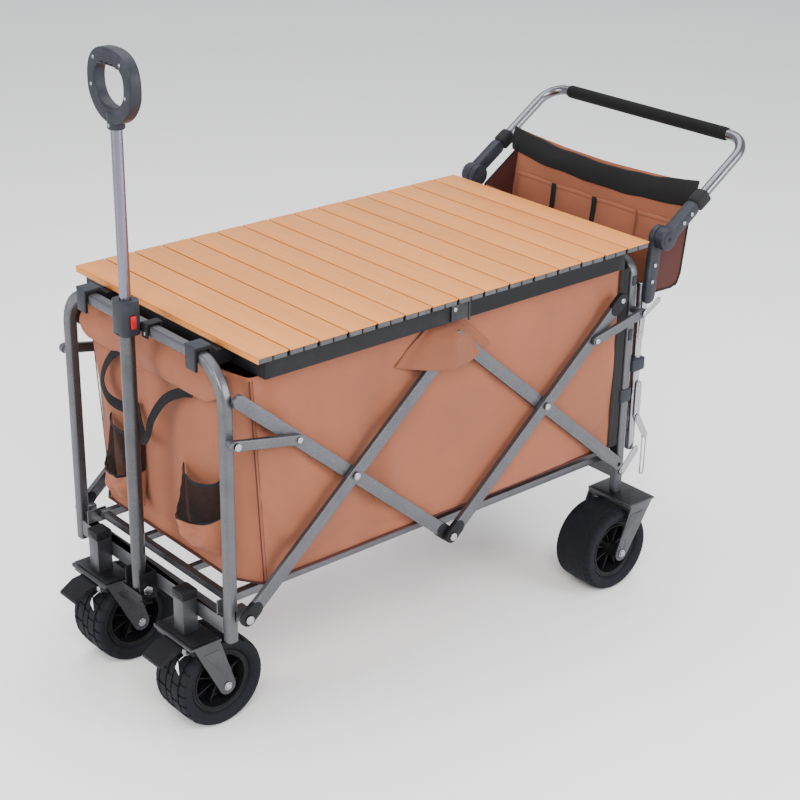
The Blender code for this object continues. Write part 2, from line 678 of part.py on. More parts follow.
def tub():
    shell = solid("tub", box((-TUB_X, TUB_X), (-TUB_Y, TUB_Y), TUB_Z), ROOT, CANVAS)
    inside = box((WALL - TUB_X, TUB_X - WALL), (WALL - TUB_Y, TUB_Y - WALL), (TUB_Z[0] + WALL, 0.70))
    cut(shell, [inside], ROOT)


def table():
    lift = group("table_frame", at(0, 0, RAIL_Z[0]), ROOT)
    half = RAIL_Y + RAIL_HALF
    for label, end in (("front", 1), ("rear", -1)):
        along = (0.001, 0.406) if end > 0 else (-0.406, -0.001)
        cross = (0.388, 0.406) if end > 0 else (-0.406, -0.388)
        frame = solid(f"table_frame_{label}", box(cross, (-half, half), RAIL_Z), lift, PLASTIC)
        if end > 0:
            hook = [(0.404, 0.664), (0.404, 0.6895), (0.436, 0.6895), (0.446, 0.7005), (0.476, 0.7005),
                    (0.476, 0.662), (0.4723, 0.662), (0.4723, 0.6953), (0.4497, 0.6953), (0.4497, 0.664)]
        else:
            hook = [(-0.404, 0.6623), (-0.404, 0.6895), (-0.476, 0.6895), (-0.476, 0.640),
                    (-0.4723, 0.640), (-0.4723, 0.6623)]
        extras = []
        for _, side in SIDES:
            rail_y = mirrored((RAIL_Y - RAIL_HALF + 0.0001, half - 0.0001), side)
            extras.append(box(along, rail_y, (RAIL_Z[0] + 0.0001, RAIL_Z[1] - 0.0001)))
            middle = CLAMP_Y * side
            extras.append(plate(hook, (middle - CLAMP_HALF, middle + CLAMP_HALF)))
        weld(frame, extras, lift)

    top = group("table_top", at(0, 0, TABLE_TOP), lift)
    pitch = (TABLE_FRONT - TABLE_REAR) / SLATS
    foot = TABLE_TOP - SLAT_THICK
    outline = [(TABLE_REAR, foot), (TABLE_REAR, TABLE_TOP)]
    for k in range(1, SLATS):
        x = TABLE_REAR + k * pitch
        outline += [(x - GROOVE / 2, TABLE_TOP), (x - GROOVE / 2, foot + 0.003),
                    (x + GROOVE / 2, foot + 0.003), (x + GROOVE / 2, TABLE_TOP)]
    outline += [(TABLE_FRONT, TABLE_TOP), (TABLE_FRONT, foot)]
    solid("table_slats", plate(outline, (-TABLE_HALF, TABLE_HALF)), top, SLAT)


# ---- assembly -----------------------------------------------------------------------

front_frame()
casters()
last_bars = [scissor(label, side) for label, side in SIDES]
rear = rear_frame(last_bars[0])
for label, side in SIDES:
    link(f"front_link_{label}", ROOT, side, 1, OUTER_LAYER)
    link(f"rear_link_{label}", rear, side, -1, REAR_LINK_LAYER)
floor_ladder("floor_front", ROOT, 1, FLOOR_FRONT_Y)
floor_ladder("floor_rear", rear, -1, FLOOR_REAR_Y)
tailgate(rear)
push_handle(rear)
pull_handle()
tub()
table()
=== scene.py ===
"""The visible folding camp wagon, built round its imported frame.

Everything is in metres in the frame's own axes: +X forward to the pull handle, +Y the wagon's left, +Z up.
"""

import json
import math

import bpy
from bpy.props import FloatProperty, FloatVectorProperty, PointerProperty
from mathutils import Matrix, Vector, noise

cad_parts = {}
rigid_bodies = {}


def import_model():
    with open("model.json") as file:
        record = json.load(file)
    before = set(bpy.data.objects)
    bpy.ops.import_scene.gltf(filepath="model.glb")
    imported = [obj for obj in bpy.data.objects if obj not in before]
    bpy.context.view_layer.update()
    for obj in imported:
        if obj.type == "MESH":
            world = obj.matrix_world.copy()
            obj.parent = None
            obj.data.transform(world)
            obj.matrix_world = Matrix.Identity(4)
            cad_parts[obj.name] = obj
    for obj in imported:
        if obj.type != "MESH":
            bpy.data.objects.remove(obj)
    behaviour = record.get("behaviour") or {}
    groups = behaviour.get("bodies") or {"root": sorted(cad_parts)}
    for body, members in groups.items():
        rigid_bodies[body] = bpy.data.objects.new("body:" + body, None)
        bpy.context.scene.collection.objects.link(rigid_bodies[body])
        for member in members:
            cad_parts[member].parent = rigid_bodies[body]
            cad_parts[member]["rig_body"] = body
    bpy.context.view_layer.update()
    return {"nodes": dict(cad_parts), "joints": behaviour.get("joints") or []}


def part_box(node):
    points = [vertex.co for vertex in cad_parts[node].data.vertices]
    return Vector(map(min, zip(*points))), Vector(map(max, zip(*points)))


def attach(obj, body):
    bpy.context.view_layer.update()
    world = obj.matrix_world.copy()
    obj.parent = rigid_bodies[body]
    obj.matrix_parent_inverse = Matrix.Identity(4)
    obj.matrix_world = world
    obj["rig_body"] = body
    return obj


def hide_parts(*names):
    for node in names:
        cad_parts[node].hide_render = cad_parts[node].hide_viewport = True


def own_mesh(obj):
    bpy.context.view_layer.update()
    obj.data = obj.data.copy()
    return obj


bl_info = {
    "name": "Folding Camp Wagon",
    "version": (1, 0, 0),
    "blender": (4, 5, 0),
    "location": "View3D > Sidebar > Wagon",
    "description": "Builds the fabric, wheels, table and fittings of a folding camp wagon",
    "category": "Object",
}

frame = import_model()

# ---- places read from the frame -----------------------------------------------------

PIVOT = {joint["name"]: Vector(joint["pos_m"]) for joint in frame["joints"] if joint.get("pos_m")}
SIDES = (("left", 1), ("right", -1))
MIDDLE = PIVOT["fold_c_left"].x
TUB_LOW, TUB_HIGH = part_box("tub")
TABLE_LOW, TABLE_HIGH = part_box("table_slats")
HOOP_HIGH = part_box("front_hoop")[1]
REAR_LOW, REAR_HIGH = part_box("rear_hoop")
BAG_LOW, BAG_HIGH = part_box("storage_bag")
GRIP_LOW, GRIP_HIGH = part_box("pull_grip")
COLLAR_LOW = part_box("pull_collar")[0]
LOWER_LOW, LOWER_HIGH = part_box("pull_tube_lower")
PULL_X = PIVOT["pull_handle_tilt"].x
PUSH = PIVOT["push_handle_raise"]
BAR_X = (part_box("foam_grip")[0].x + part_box("foam_grip")[1].x) / 2
BAR_Z = (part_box("foam_grip")[0].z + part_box("foam_grip")[1].z) / 2

TUBE_R = 0.010
POST_Y = 0.228
POST_X = HOOP_HIGH.x - TUBE_R
HOOP_TOP = HOOP_HIGH.z - TUBE_R
HOOP_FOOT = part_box("front_hoop")[0].z
HOOP_CORNER = 0.070
REAR_X = 2 * MIDDLE - POST_X
REAR_TOP = REAR_HIGH.z - TUBE_R
REAR_CORNER = 0.025
OUTER_FACE = 0.2575  # outer face of the scissor bars' outer layer
HEAD_FACE = 0.2602  # plane that the main rivet heads stand on
BAR_R = 0.012
PUSH_POST_X = PIVOT["tailgate_drop"].x
PUSH_Y = 0.261
LINK_REACH = 0.339  # from the middle of the wagon to a link's rivet
TIP_REACH = 0.538  # from the bottom middle hub to the far end of a long bar
FORK_PANEL_TOP, FORK_PANEL_FOOT = 0.160, 0.112
CUT_TURN = 0.185  # where the tub's front wall turns into its drawn-in corners
SLATS = 15
STUD = (0.0042, 0.0018)  # radius and height of a small rivet head
UP, LEFT, FORWARD = Vector((0, 0, 1)), Vector((0, 1, 0)), Vector((1, 0, 0))


# ---- sizes and colours that a user may change ---------------------------------------

class WagonSizes(bpy.types.PropertyGroup):
    slack: FloatProperty(name="Tub slack", description="How much longer the tub's cloth is than its frame",
                         default=0.012, min=0, max=0.05, subtype="FACTOR")
    hem: FloatProperty(name="Hem depth", description="Height of the fold along the tub's front edge",
                       default=0.050, unit="LENGTH")
    webbing: FloatProperty(name="Webbing width", description="Width of the black webbing loops",
                           default=0.018, unit="LENGTH")
    wall: FloatProperty(name="Cloth thickness", description="Thickness of the tub's coated cloth",
                        default=0.0016, unit="LENGTH")
    groove: FloatProperty(name="Slat gap", description="Gap between two slats of the table top",
                          default=0.0032, unit="LENGTH")


def colour_property(name, description, default):
    return FloatVectorProperty(name=name, description=description, default=default,
                               subtype="COLOR", size=3, min=0, max=1)


class WagonColours(bpy.types.PropertyGroup):
    canvas: colour_property("Canvas", "Tan coated cloth", (0.240, 0.080, 0.041))
    lining: colour_property("Lining", "Dark brown cloth at the seams and sides", (0.050, 0.011, 0.008))
    slat: colour_property("Slat", "Warm veneer of the table top", (0.53, 0.192, 0.040))
    steel: colour_property("Steel", "Silver-grey powder coat", (0.098, 0.099, 0.110))
    plated: colour_property("Plated tube", "Satin plated tube", (0.20, 0.19, 0.25))
    black: colour_property("Black plastic", "Moulded plastic", (0.006, 0.006, 0.0075))
    rubber: colour_property("Rubber", "Tyre tread", (0.0065, 0.007, 0.010))


# ---- materials ----------------------------------------------------------------------

class Value:
    """A shader value. Arithmetic on it adds Math nodes."""

    def __init__(self, paint, socket):
        self.paint, self.socket = paint, socket

    def _math(self, operation, *values):
        return self.paint.add("ShaderNodeMath", {"operation": operation}, dict(enumerate(values)))

    def __add__(self, other):
        return self._math("ADD", self, other)

    def __sub__(self, other):
        return self._math("SUBTRACT", self, other)

    def __rsub__(self, other):
        return self._math("SUBTRACT", other, self)

    def __mul__(self, other):
        return self._math("MULTIPLY", self, other)

    def wave(self):
        return self._math("SINE", self)

    def whole(self):
        return self._math("FLOOR", self)

    def size(self):
        return self._math("ABSOLUTE", self)

    def above(self, limit):
        return self._math("GREATER_THAN", self, limit)

    __radd__, __rmul__ = __add__, __mul__


class Paint:
    """One material: a Principled shader and the nodes that feed it."""

    def __init__(self, name, roughness, metallic=0.0, coat=0.0, sheen=0.0, specular=0.5):
        self.material = bpy.data.materials.new(name)
        self.material.use_nodes = True
        self.tree = self.material.node_tree
        self.surface = self.tree.nodes["Principled BSDF"]
        for socket, value in (("Roughness", roughness), ("Metallic", metallic),
                              ("Coat Weight", coat), ("Sheen Weight", sheen),
                              ("Specular IOR Level", specular)):
            self.surface.inputs[socket].default_value = value

    def add(self, kind, settings, values, output=0):
        """Add a node with its settings, then its socket values or links, and give one output."""
        node = self.tree.nodes.new(kind)
        for key, value in settings.items():
            setattr(node, key, value)
        for key, value in values.items():
            if isinstance(value, Value):
                self.tree.links.new(value.socket, node.inputs[key])
            else:
                node.inputs[key].default_value = value
        return Value(self, node.outputs[output])

    def place(self, output="Object"):
        return self.add("ShaderNodeTexCoord", {}, {}, output)

    def stretched(self, vector, scale):
        return self.add("ShaderNodeMapping", {}, {"Vector": vector, "Scale": scale})

    def noise(self, vector, scale, detail=3.0, roughness=0.5):
        return self.add("ShaderNodeTexNoise", {},
                        {"Vector": vector, "Scale": scale, "Detail": detail, "Roughness": roughness})

    def axes(self, vector):
        return [self.add("ShaderNodeSeparateXYZ", {}, {"Vector": vector}, k) for k in range(3)]

    def spread(self, value, low, high, first=0.0, last=1.0):
        """Map a value's low to high range onto first to last, held at the ends."""
        return self.add("ShaderNodeMapRange", {"clamp": True},
                        {"Value": value, "From Min": low, "From Max": high, "To Min": first, "To Max": last})

    def blend(self, factor, first, last):
        return self.add("ShaderNodeMix", {"data_type": "RGBA"},
                        {0: factor, 6: opaque(first), 7: opaque(last)}, 2)

    def feed(self, socket, value):
        self.tree.links.new(value.socket, self.surface.inputs[socket])

    def bump(self, height, distance, strength=1.0, under=None):
        values = {"Height": height, "Distance": distance, "Strength": strength}
        if under is not None:
            values["Normal"] = under
        return self.add("ShaderNodeBump", {}, values)


def opaque(colour):
    return colour if isinstance(colour, Value) else (*tuple(colour)[:3], 1.0)


def shade(colour, factor):
    return tuple(channel * factor for channel in tuple(colour)[:3])


def coated_steel(name, colour, roughness=0.42, speckle=0.30):
    """Powder coat with a fine hammered speckle and darker random patches."""
    paint = Paint(name, roughness, metallic=0.85, coat=0.05)
    here = paint.place()
    grain = paint.noise(here, 900, 2)
    patch = paint.noise(here, 22, 4)
    tone = paint.spread(grain, 0.35, 0.65)
    speckled = paint.blend(tone, shade(colour, 1 - speckle), shade(colour, 1 + speckle))
    paint.feed("Base Color", paint.blend(paint.spread(patch, 0.45, 0.75, 0.0, 0.35), speckled,
                                         shade(colour, 0.7)))
    paint.feed("Roughness", paint.spread(patch, 0.3, 0.7, roughness - 0.08, roughness + 0.10))
    paint.feed("Normal", paint.bump(grain, 0.0004, 0.35))
    return paint.material


def drawn_tube(name, colour, roughness=0.22, along=(1, 1, 0.02)):
    """Bright drawn tube with fine lines along its length."""
    paint = Paint(name, roughness, metallic=1.0, coat=0.1)
    lines = paint.noise(paint.stretched(paint.place(), along), 1400, 2)
    smudge = paint.noise(paint.place(), 14, 3)
    paint.feed("Base Color", paint.blend(paint.spread(lines, 0.3, 0.7), shade(colour, 0.86), colour))
    paint.feed("Roughness", paint.spread(smudge, 0.3, 0.7, roughness - 0.05, roughness + 0.12))
    paint.feed("Normal", paint.bump(lines, 0.0001, 0.3))
    return paint.material


def moulded(name, colour, roughness=0.5, grain=520):
    """Moulded plastic with a fine leathery grain and paler scuffs."""
    paint = Paint(name, roughness, specular=0.16)
    here = paint.place()
    pebble = paint.add("ShaderNodeTexVoronoi", {}, {"Vector": here, "Scale": grain})
    scuff = paint.noise(here, 35, 5, 0.6)
    paint.feed("Base Color", paint.blend(paint.spread(scuff, 0.5, 0.8, 0, 0.6), colour, shade(colour, 2.2)))
    paint.feed("Roughness", paint.spread(scuff, 0.3, 0.75, roughness - 0.08, roughness + 0.14))
    paint.feed("Normal", paint.bump(pebble, 0.0003, 0.25))
    return paint.material


def tyre_rubber(name, colour):
    """Dull rubber with dust held in its pores."""
    paint = Paint(name, 0.72, specular=0.14)
    here = paint.place()
    dust = paint.noise(here, 60, 6, 0.65)
    pores = paint.noise(here, 1500, 2)
    paint.feed("Base Color", paint.blend(paint.spread(dust, 0.48, 0.8, 0, 0.5), colour, shade(colour, 2.6)))
    paint.feed("Roughness", paint.spread(dust, 0.3, 0.7, 0.62, 0.85))
    paint.feed("Normal", paint.bump(pores, 0.0004, 0.3))
    return paint.material


def foam_rubber(name, colour):
    paint = Paint(name, 0.85, sheen=0.02, specular=0.08)
    here = paint.place()
    cells = paint.add("ShaderNodeTexVoronoi", {}, {"Vector": here, "Scale": 700})
    paint.feed("Base Color", paint.blend(paint.spread(cells, 0.0, 0.7), shade(colour, 0.6),
                                         shade(colour, 1.5)))
    paint.feed("Normal", paint.bump(cells, 0.0006, 0.4))
    return paint.material


def woven(name, colour, pitch=0.0011, crease=1.0, sheen=0.04, roughness=0.72):
    """Coated plain weave on the piece's own map, whose units are metres, with soft creases."""
    paint = Paint(name, roughness, sheen=sheen, specular=0.22)
    cloth = paint.place("UV")
    here = paint.place()
    across, along, _ = paint.axes(cloth)
    turns = math.tau / (2 * pitch)
    over = (across * turns).wave() * (along * turns).wave()
    thread = paint.noise(paint.stretched(cloth, (1, 9, 1)), 420, 2)
    cast = paint.noise(here, 5.5, 4, 0.55)
    tone = paint.blend(paint.spread(cast, 0.35, 0.68), shade(colour, 0.84), shade(colour, 1.10))
    slub = paint.blend(paint.spread(thread, 0.35, 0.7, 0, 0.35), tone, shade(colour, 0.72))
    worn = paint.blend(paint.spread(over, -0.6, 1.0, 0.0, 0.22), slub, shade(colour, 1.35))
    paint.feed("Base Color", worn)
    paint.feed("Roughness", paint.spread(cast, 0.3, 0.7, roughness - 0.08, roughness + 0.06))
    folds = paint.noise(paint.stretched(here, (1.0, 1.0, 0.55)), 16, 5, 0.55)
    paint.feed("Normal", paint.bump(over, 0.00025, 0.5, paint.bump(folds, 0.004 * crease, 0.35)))
    return paint.material


def ribbed_webbing(name, colour, pitch=0.0016):
    paint = Paint(name, 0.7, sheen=0.02, specular=0.12)
    across, along, _ = paint.axes(paint.place("UV"))
    ribs = (along * (math.tau / pitch)).wave() + (across * (math.tau / (2.5 * pitch))).wave() * 0.4
    paint.feed("Base Color", paint.blend(paint.spread(ribs, -1, 1.2), shade(colour, 0.6), shade(colour, 2.0)))
    paint.feed("Normal", paint.bump(ribs, 0.0004, 0.6))
    return paint.material


def open_net(name, colour, pitch=0.0032):
    """Knitted net: threads with holes between them."""
    paint = Paint(name, 0.8, specular=0.08)
    across, along, _ = paint.axes(paint.place("UV"))
    turns = math.tau / pitch
    lattice = ((across + along) * turns).wave() * ((across - along) * turns).wave()
    thread = 1 - lattice.size().above(0.62)
    grain = paint.noise(paint.place(), 900, 2)
    paint.feed("Base Color", paint.blend(grain, shade(colour, 0.5), shade(colour, 2.4)))
    paint.feed("Alpha", thread * 0.70 + 0.28)
    paint.feed("Normal", paint.bump(lattice, 0.0006, 0.5))
    return paint.material


def veneer(name, colour, pitch, start):
    """Wood-look slats: each with its own tone, and fine grain along its length."""
    paint = Paint(name, 0.48, coat=0.03, specular=0.25)
    here = paint.place()
    x, _, _ = paint.axes(here)
    which = ((x - start) * (1 / pitch)).whole()
    own = paint.add("ShaderNodeTexWhiteNoise", {"noise_dimensions": "1D"}, {"W": which})
    grain = paint.noise(paint.stretched(here, (1, 0.035, 1)), 260, 5, 0.6)
    broad = paint.noise(paint.stretched(here, (1, 0.12, 1)), 30, 4)
    tone = paint.blend(own, shade(colour, 0.94), shade(colour, 1.06))
    lined = paint.blend(paint.spread(grain, 0.42, 0.72, 0, 0.28), tone, shade(colour, 0.70))
    paint.feed("Base Color", paint.blend(paint.spread(broad, 0.4, 0.75, 0, 0.30), lined, shade(colour, 1.22)))
    paint.feed("Roughness", paint.spread(grain, 0.3, 0.7, 0.42, 0.56))
    paint.feed("Normal", paint.bump(grain, 0.0002, 0.25))
    return paint.material


FINISH = {}


def mix_finishes(colours):
    """Make every finish of the wagon once."""
    pitch = (TABLE_HIGH.x - TABLE_LOW.x) / SLATS
    FINISH.update({
        "steel": coated_steel("silver_powder_coat", colours.steel),
        "dark_steel": coated_steel("graphite_powder_coat", shade(colours.steel, 0.30), 0.40),
        "fork_steel": coated_steel("fork_powder_coat", shade(colours.steel, 0.62), 0.38),
        "tube_grey": coated_steel("grey_hammer_coat", shade(colours.steel, 0.80), 0.36, 0.38),
        "plated": drawn_tube("satin_plated_tube", colours.plated),
        "bow": drawn_tube("polished_bow", (0.150, 0.150, 0.165), 0.18, (0.05, 1, 0.05)),
        "bright": drawn_tube("bright_zinc", (0.36, 0.36, 0.385), 0.22, (1, 1, 1)),
        "black": moulded("black_moulding", colours.black),
        "grey": moulded("grey_moulding", (0.018, 0.0195, 0.026), 0.42),
        "hub": moulded("hub_moulding", shade(colours.black, 0.75), 0.42, 380),
        "red": moulded("red_button", (0.30, 0.008, 0.010), 0.35),
        "rubber": tyre_rubber("tyre_rubber", colours.rubber),
        "foam": foam_rubber("grip_foam", (0.006, 0.006, 0.0065)),
        "canvas": woven("tan_canvas", colours.canvas),
        # Tan canvas darkened to 0.8: painted shade for the hub cap flaps, standing in for the shadow on their
        # facets.
        "shaded": woven("painted_shade_canvas", shade(colours.canvas, 0.80), crease=1.5),
        "lining": woven("brown_lining", colours.lining, crease=0.6),
        "maroon": woven("maroon_flap", shade(colours.lining, 1.2), crease=1.4, sheen=0.1, roughness=0.45),
        "band": woven("black_band", (0.006, 0.006, 0.007), crease=0.5, roughness=0.75),
        "webbing": ribbed_webbing("black_webbing", (0.006, 0.006, 0.008)),
        "net": open_net("black_net", (0.006, 0.005, 0.005)),
        "plug": moulded("slat_plug", (0.060, 0.060, 0.066), 0.42),
        "tag": moulded("blank_tag", (0.60, 0.60, 0.62), 0.5),
        "slat": veneer("slat_veneer", colours.slat, pitch, TABLE_LOW.x),
    })


# ---- modelling helpers --------------------------------------------------------------

def only(*things):
    """Leave edit mode and select just these objects."""
    if bpy.context.mode != "OBJECT":
        bpy.ops.object.mode_set(mode="OBJECT")
    bpy.ops.object.select_all(action="DESELECT")
    for thing in things:
        thing.select_set(True)
        bpy.context.view_layer.objects.active = thing


def start(kind, name, **settings):
    """Add a primitive with nothing else selected."""
    only()
    getattr(bpy.ops.mesh, f"primitive_{kind}_add")(**settings)
    thing = bpy.context.object
    thing.name = thing.data.name = name
    bpy.ops.object.transform_apply(location=True, rotation=True, scale=True)
    return thing


def edit(thing, mode="FACE"):
    only(thing)
    bpy.ops.object.mode_set(mode="EDIT")
    bpy.ops.mesh.select_mode(type=mode)
    bpy.ops.mesh.select_all(action="SELECT")


def pick(thing, test):
    """Open a mesh with only the faces whose centre and normal pass the test selected."""
    edit(thing)
    bpy.ops.mesh.select_all(action="DESELECT")
    bpy.ops.object.mode_set(mode="OBJECT")
    for face in thing.data.polygons:
        face.select = bool(test(face.center, face.normal))
    bpy.ops.object.mode_set(mode="EDIT")


def close(thing):
    """Merge doubles, point the faces outwards and leave edit mode."""
    edit(thing, "VERT")
    bpy.ops.mesh.remove_doubles(threshold=0.00001)
    bpy.ops.mesh.normals_make_consistent(inside=False)
    bpy.ops.object.mode_set(mode="OBJECT")
    return thing


def modify(thing, kind, **settings):
    """Add one modifier and apply it."""
    only(thing)
    made = thing.modifiers.new(kind.title(), kind)
    for key, value in settings.items():
        setattr(made, key, value)
    bpy.ops.object.modifier_apply(modifier=made.name)
    return thing


def smooth(thing, angle=38):
    only(thing)
    bpy.ops.object.shade_smooth_by_angle(angle=math.radians(angle))
    return thing


def rounded(thing, width, steps=2, angle=32):
    modify(thing, "BEVEL", width=width, segments=steps, limit_method="ANGLE", angle_limit=math.radians(angle))
    return smooth(thing)


def join(name, things):
    only(*things)
    bpy.context.view_layer.objects.active = things[0]
    bpy.ops.object.join()
    things[0].name = things[0].data.name = name
    return things[0]


def mount(thing, body, finish, replaces=()):
    """Give a finished piece its finish and the body that it moves with."""
    thing.data.materials.clear()
    thing.data.materials.append(FINISH[finish])
    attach(thing, body)
    if replaces:
        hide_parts(*replaces)
    return thing


def block(name, low, high, soft=0.001, steps=2):
    """A box between two corners with its edges rounded."""
    low, high = Vector(low), Vector(high)
    thing = start("cube", name, size=1, location=(low + high) / 2, scale=[abs(s) for s in high - low])
    return rounded(thing, soft, steps) if soft else thing


def peg(name, point, direction, radius, length, soft=0.0, sides=24):
    """A round bar from a point along a direction."""
    direction = Vector(direction).normalized()
    turn = direction.to_track_quat("Z", "Y").to_euler()
    thing = start("cylinder", name, vertices=sides, radius=radius, depth=length, rotation=turn,
                  location=Vector(point) + direction * length / 2)
    return rounded(thing, soft, 3) if soft else smooth(thing)


def rivet(point, side, radius=0.0065, height=0.0028):
    """A domed rivet head that faces outwards along Y."""
    return peg("rivet", point, (0, side, 0), radius, height, min(radius, height) * 0.75)


def chain(name, points):
    """A run of edges through the points, drawn by extruding one corner after another."""
    thing = start("plane", name, size=0.001, location=points[0])
    edit(thing, "VERT")
    bpy.ops.mesh.merge(type="CENTER")
    for here, there in zip(points, points[1:]):
        bpy.ops.mesh.extrude_region_move(TRANSFORM_OT_translate={"value": Vector(there) - Vector(here)})
    return thing


def turned(name, profile, centre, axis, steps=48, angle=38):
    """Spin (radius, height) points round an axis through the centre."""
    axis = Vector(axis)
    spoke = FORWARD if abs(axis.x) < 0.5 else UP
    centre = Vector(centre)
    thing = chain(name, [centre + spoke * radius + axis * height for radius, height in profile])
    bpy.ops.mesh.select_all(action="SELECT")
    bpy.ops.mesh.spin(steps=steps, angle=math.tau, center=centre, axis=axis, use_auto_merge=True)
    return smooth(close(thing), angle)


def prism(name, outline, depth, soft=0.001, steps=2):
    """A flat outline of points, filled and extruded by the depth vector."""
    thing = chain(name, list(outline))
    bpy.ops.mesh.select_all(action="SELECT")
    bpy.ops.mesh.edge_face_add()
    bpy.ops.mesh.select_all(action="SELECT")
    bpy.ops.mesh.extrude_region_move(TRANSFORM_OT_translate={"value": Vector(depth)})
    close(thing)
    return rounded(thing, soft, steps) if soft else smooth(thing)


def strap_outline(first, last, radius, y, steps=8):
    """The round-ended outline of a flat bar between two points in the XZ plane."""
    along = (Vector(last) - Vector(first)).normalized()
    heading = math.atan2(along.z, along.x)
    points = []
    for centre, offset in ((last, -math.pi / 2), (first, math.pi / 2)):
        for k in range(steps + 1):
            angle = heading + offset + math.pi * k / steps
            points.append(Vector((centre[0] + radius * math.cos(angle), y,
                                  centre[2] + radius * math.sin(angle))))
    return points


def flat_bar(name, first, last, radius, low, high, soft=0.001):
    return prism(name, strap_outline(first, last, radius, low), (0, high - low, 0), soft)


def tube(name, first, heading, radius, moves, corner=None, sides=20):
    """A tube drawn by extruding its end face straight ("go") or round a corner ("turn")."""
    turn = Vector(heading).to_track_quat("Z", "Y").to_euler()
    if corner is None:
        thing = start("circle", name, vertices=sides, radius=radius, fill_type="NGON", location=first,
                      rotation=turn)
        edit(thing)
    else:
        thing = start("plane", name, size=2 * radius, location=first, rotation=turn)
        edit(thing)
        bpy.ops.mesh.bevel(offset=corner, segments=4, affect="VERTICES")
        bpy.ops.mesh.select_all(action="SELECT")
    for kind, *move in moves:
        if kind == "go":
            bpy.ops.mesh.extrude_region_move(TRANSFORM_OT_translate={"value": move[0]})
        else:
            centre, axis, degrees = move
            bpy.ops.mesh.spin(steps=10, angle=math.radians(degrees), center=centre, axis=-Vector(axis))
    return smooth(close(thing), 30)


def bow_path(first, side_run, top, corner):
    """The moves of a symmetric bow: up one side, round, across Y, round, and down again."""
    up = Vector(side_run).normalized()
    straight = Vector(side_run) - up * corner
    corner_at = Vector(first) + straight - LEFT * corner
    far = corner_at - LEFT * (2 * top - 2 * corner)
    axis = LEFT.cross(up)
    return [("go", straight), ("turn", corner_at, axis, 90), ("go", -LEFT * (2 * top - 2 * corner)),
            ("turn", far, axis, 90), ("go", -straight)]


def cloth(name, columns, rows, place, size, thickness, offset=0.0, soften=1):
    """A sheet from a grid: place gives the point at each share across and along, size its metres."""
    thing = start("grid", name, x_subdivisions=columns, y_subdivisions=rows, size=1, calc_uvs=True)
    mesh = thing.data
    for loop, spot in zip(mesh.loops, mesh.uv_layers.active.data):
        point = mesh.vertices[loop.vertex_index].co
        spot.uv = ((point.x + 0.5) * size[0], (point.y + 0.5) * size[1])
    for vertex in mesh.vertices:
        vertex.co = place(min(max(vertex.co.x + 0.5, 0), 1), min(max(vertex.co.y + 0.5, 0), 1))
    if thickness:
        modify(thing, "SOLIDIFY", thickness=thickness, offset=offset)
    if soften:
        modify(thing, "SUBSURF", levels=soften, render_levels=soften)
    return smooth(thing, 60)


def ripple(point, scale, depth):
    """A smooth, repeatable unevenness of cloth."""
    return depth * noise.noise(Vector(point) * scale)


def webbing(name, points, facing, width, thickness=0.0014):
    """A strap that runs smoothly through the points with its flat face turned towards facing."""
    count = len(points) - 1

    def middle(v):
        spot = v * count
        k = min(int(spot), count - 1)
        before, here, there, after = (Vector(points[min(max(k + n, 0), count)]) for n in (-1, 0, 1, 2))
        t = spot - k
        return 0.5 * (2 * here + (there - before) * t + (2 * before - 5 * here + 4 * there - after) * t * t
                      + (3 * here - 3 * there + after - before) * t ** 3)

    def place(u, v):
        along = middle(min(v + 0.01, 1)) - middle(max(v - 0.01, 0))
        return middle(v) + along.cross(Vector(facing)).normalized() * (u - 0.5) * width

    length = sum((Vector(b) - Vector(a)).length for a, b in zip(points, points[1:]))
    return cloth(name, 2, 8 * count, place, (width, length), thickness, soften=0)


def swing(thing, centre, angle):
    """Turn a piece's mesh round the Y axis through a centre."""
    thing.data.transform(Matrix.Translation(centre) @ Matrix.Rotation(angle, 4, "Y")
                         @ Matrix.Translation(-centre))
    return thing


def round_off(node, finish, width=0.0008, steps=2, angle=32):
    """A copy of a CAD piece with its triangles merged and its edges rounded, which stands for it."""
    source = frame["nodes"][node]
    thing = bpy.data.objects.new(f"{node}_rounded", source.data.copy())
    bpy.context.scene.collection.objects.link(thing)
    edit(thing, "VERT")
    bpy.ops.mesh.remove_doubles(threshold=0.00002)
    bpy.ops.mesh.dissolve_limited(angle_limit=math.radians(1.5))
    bpy.ops.object.mode_set(mode="OBJECT")
    rounded(thing, width, steps, angle)
    return mount(thing, source["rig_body"], finish, (node,))


# ---- stage --------------------------------------------------------------------------

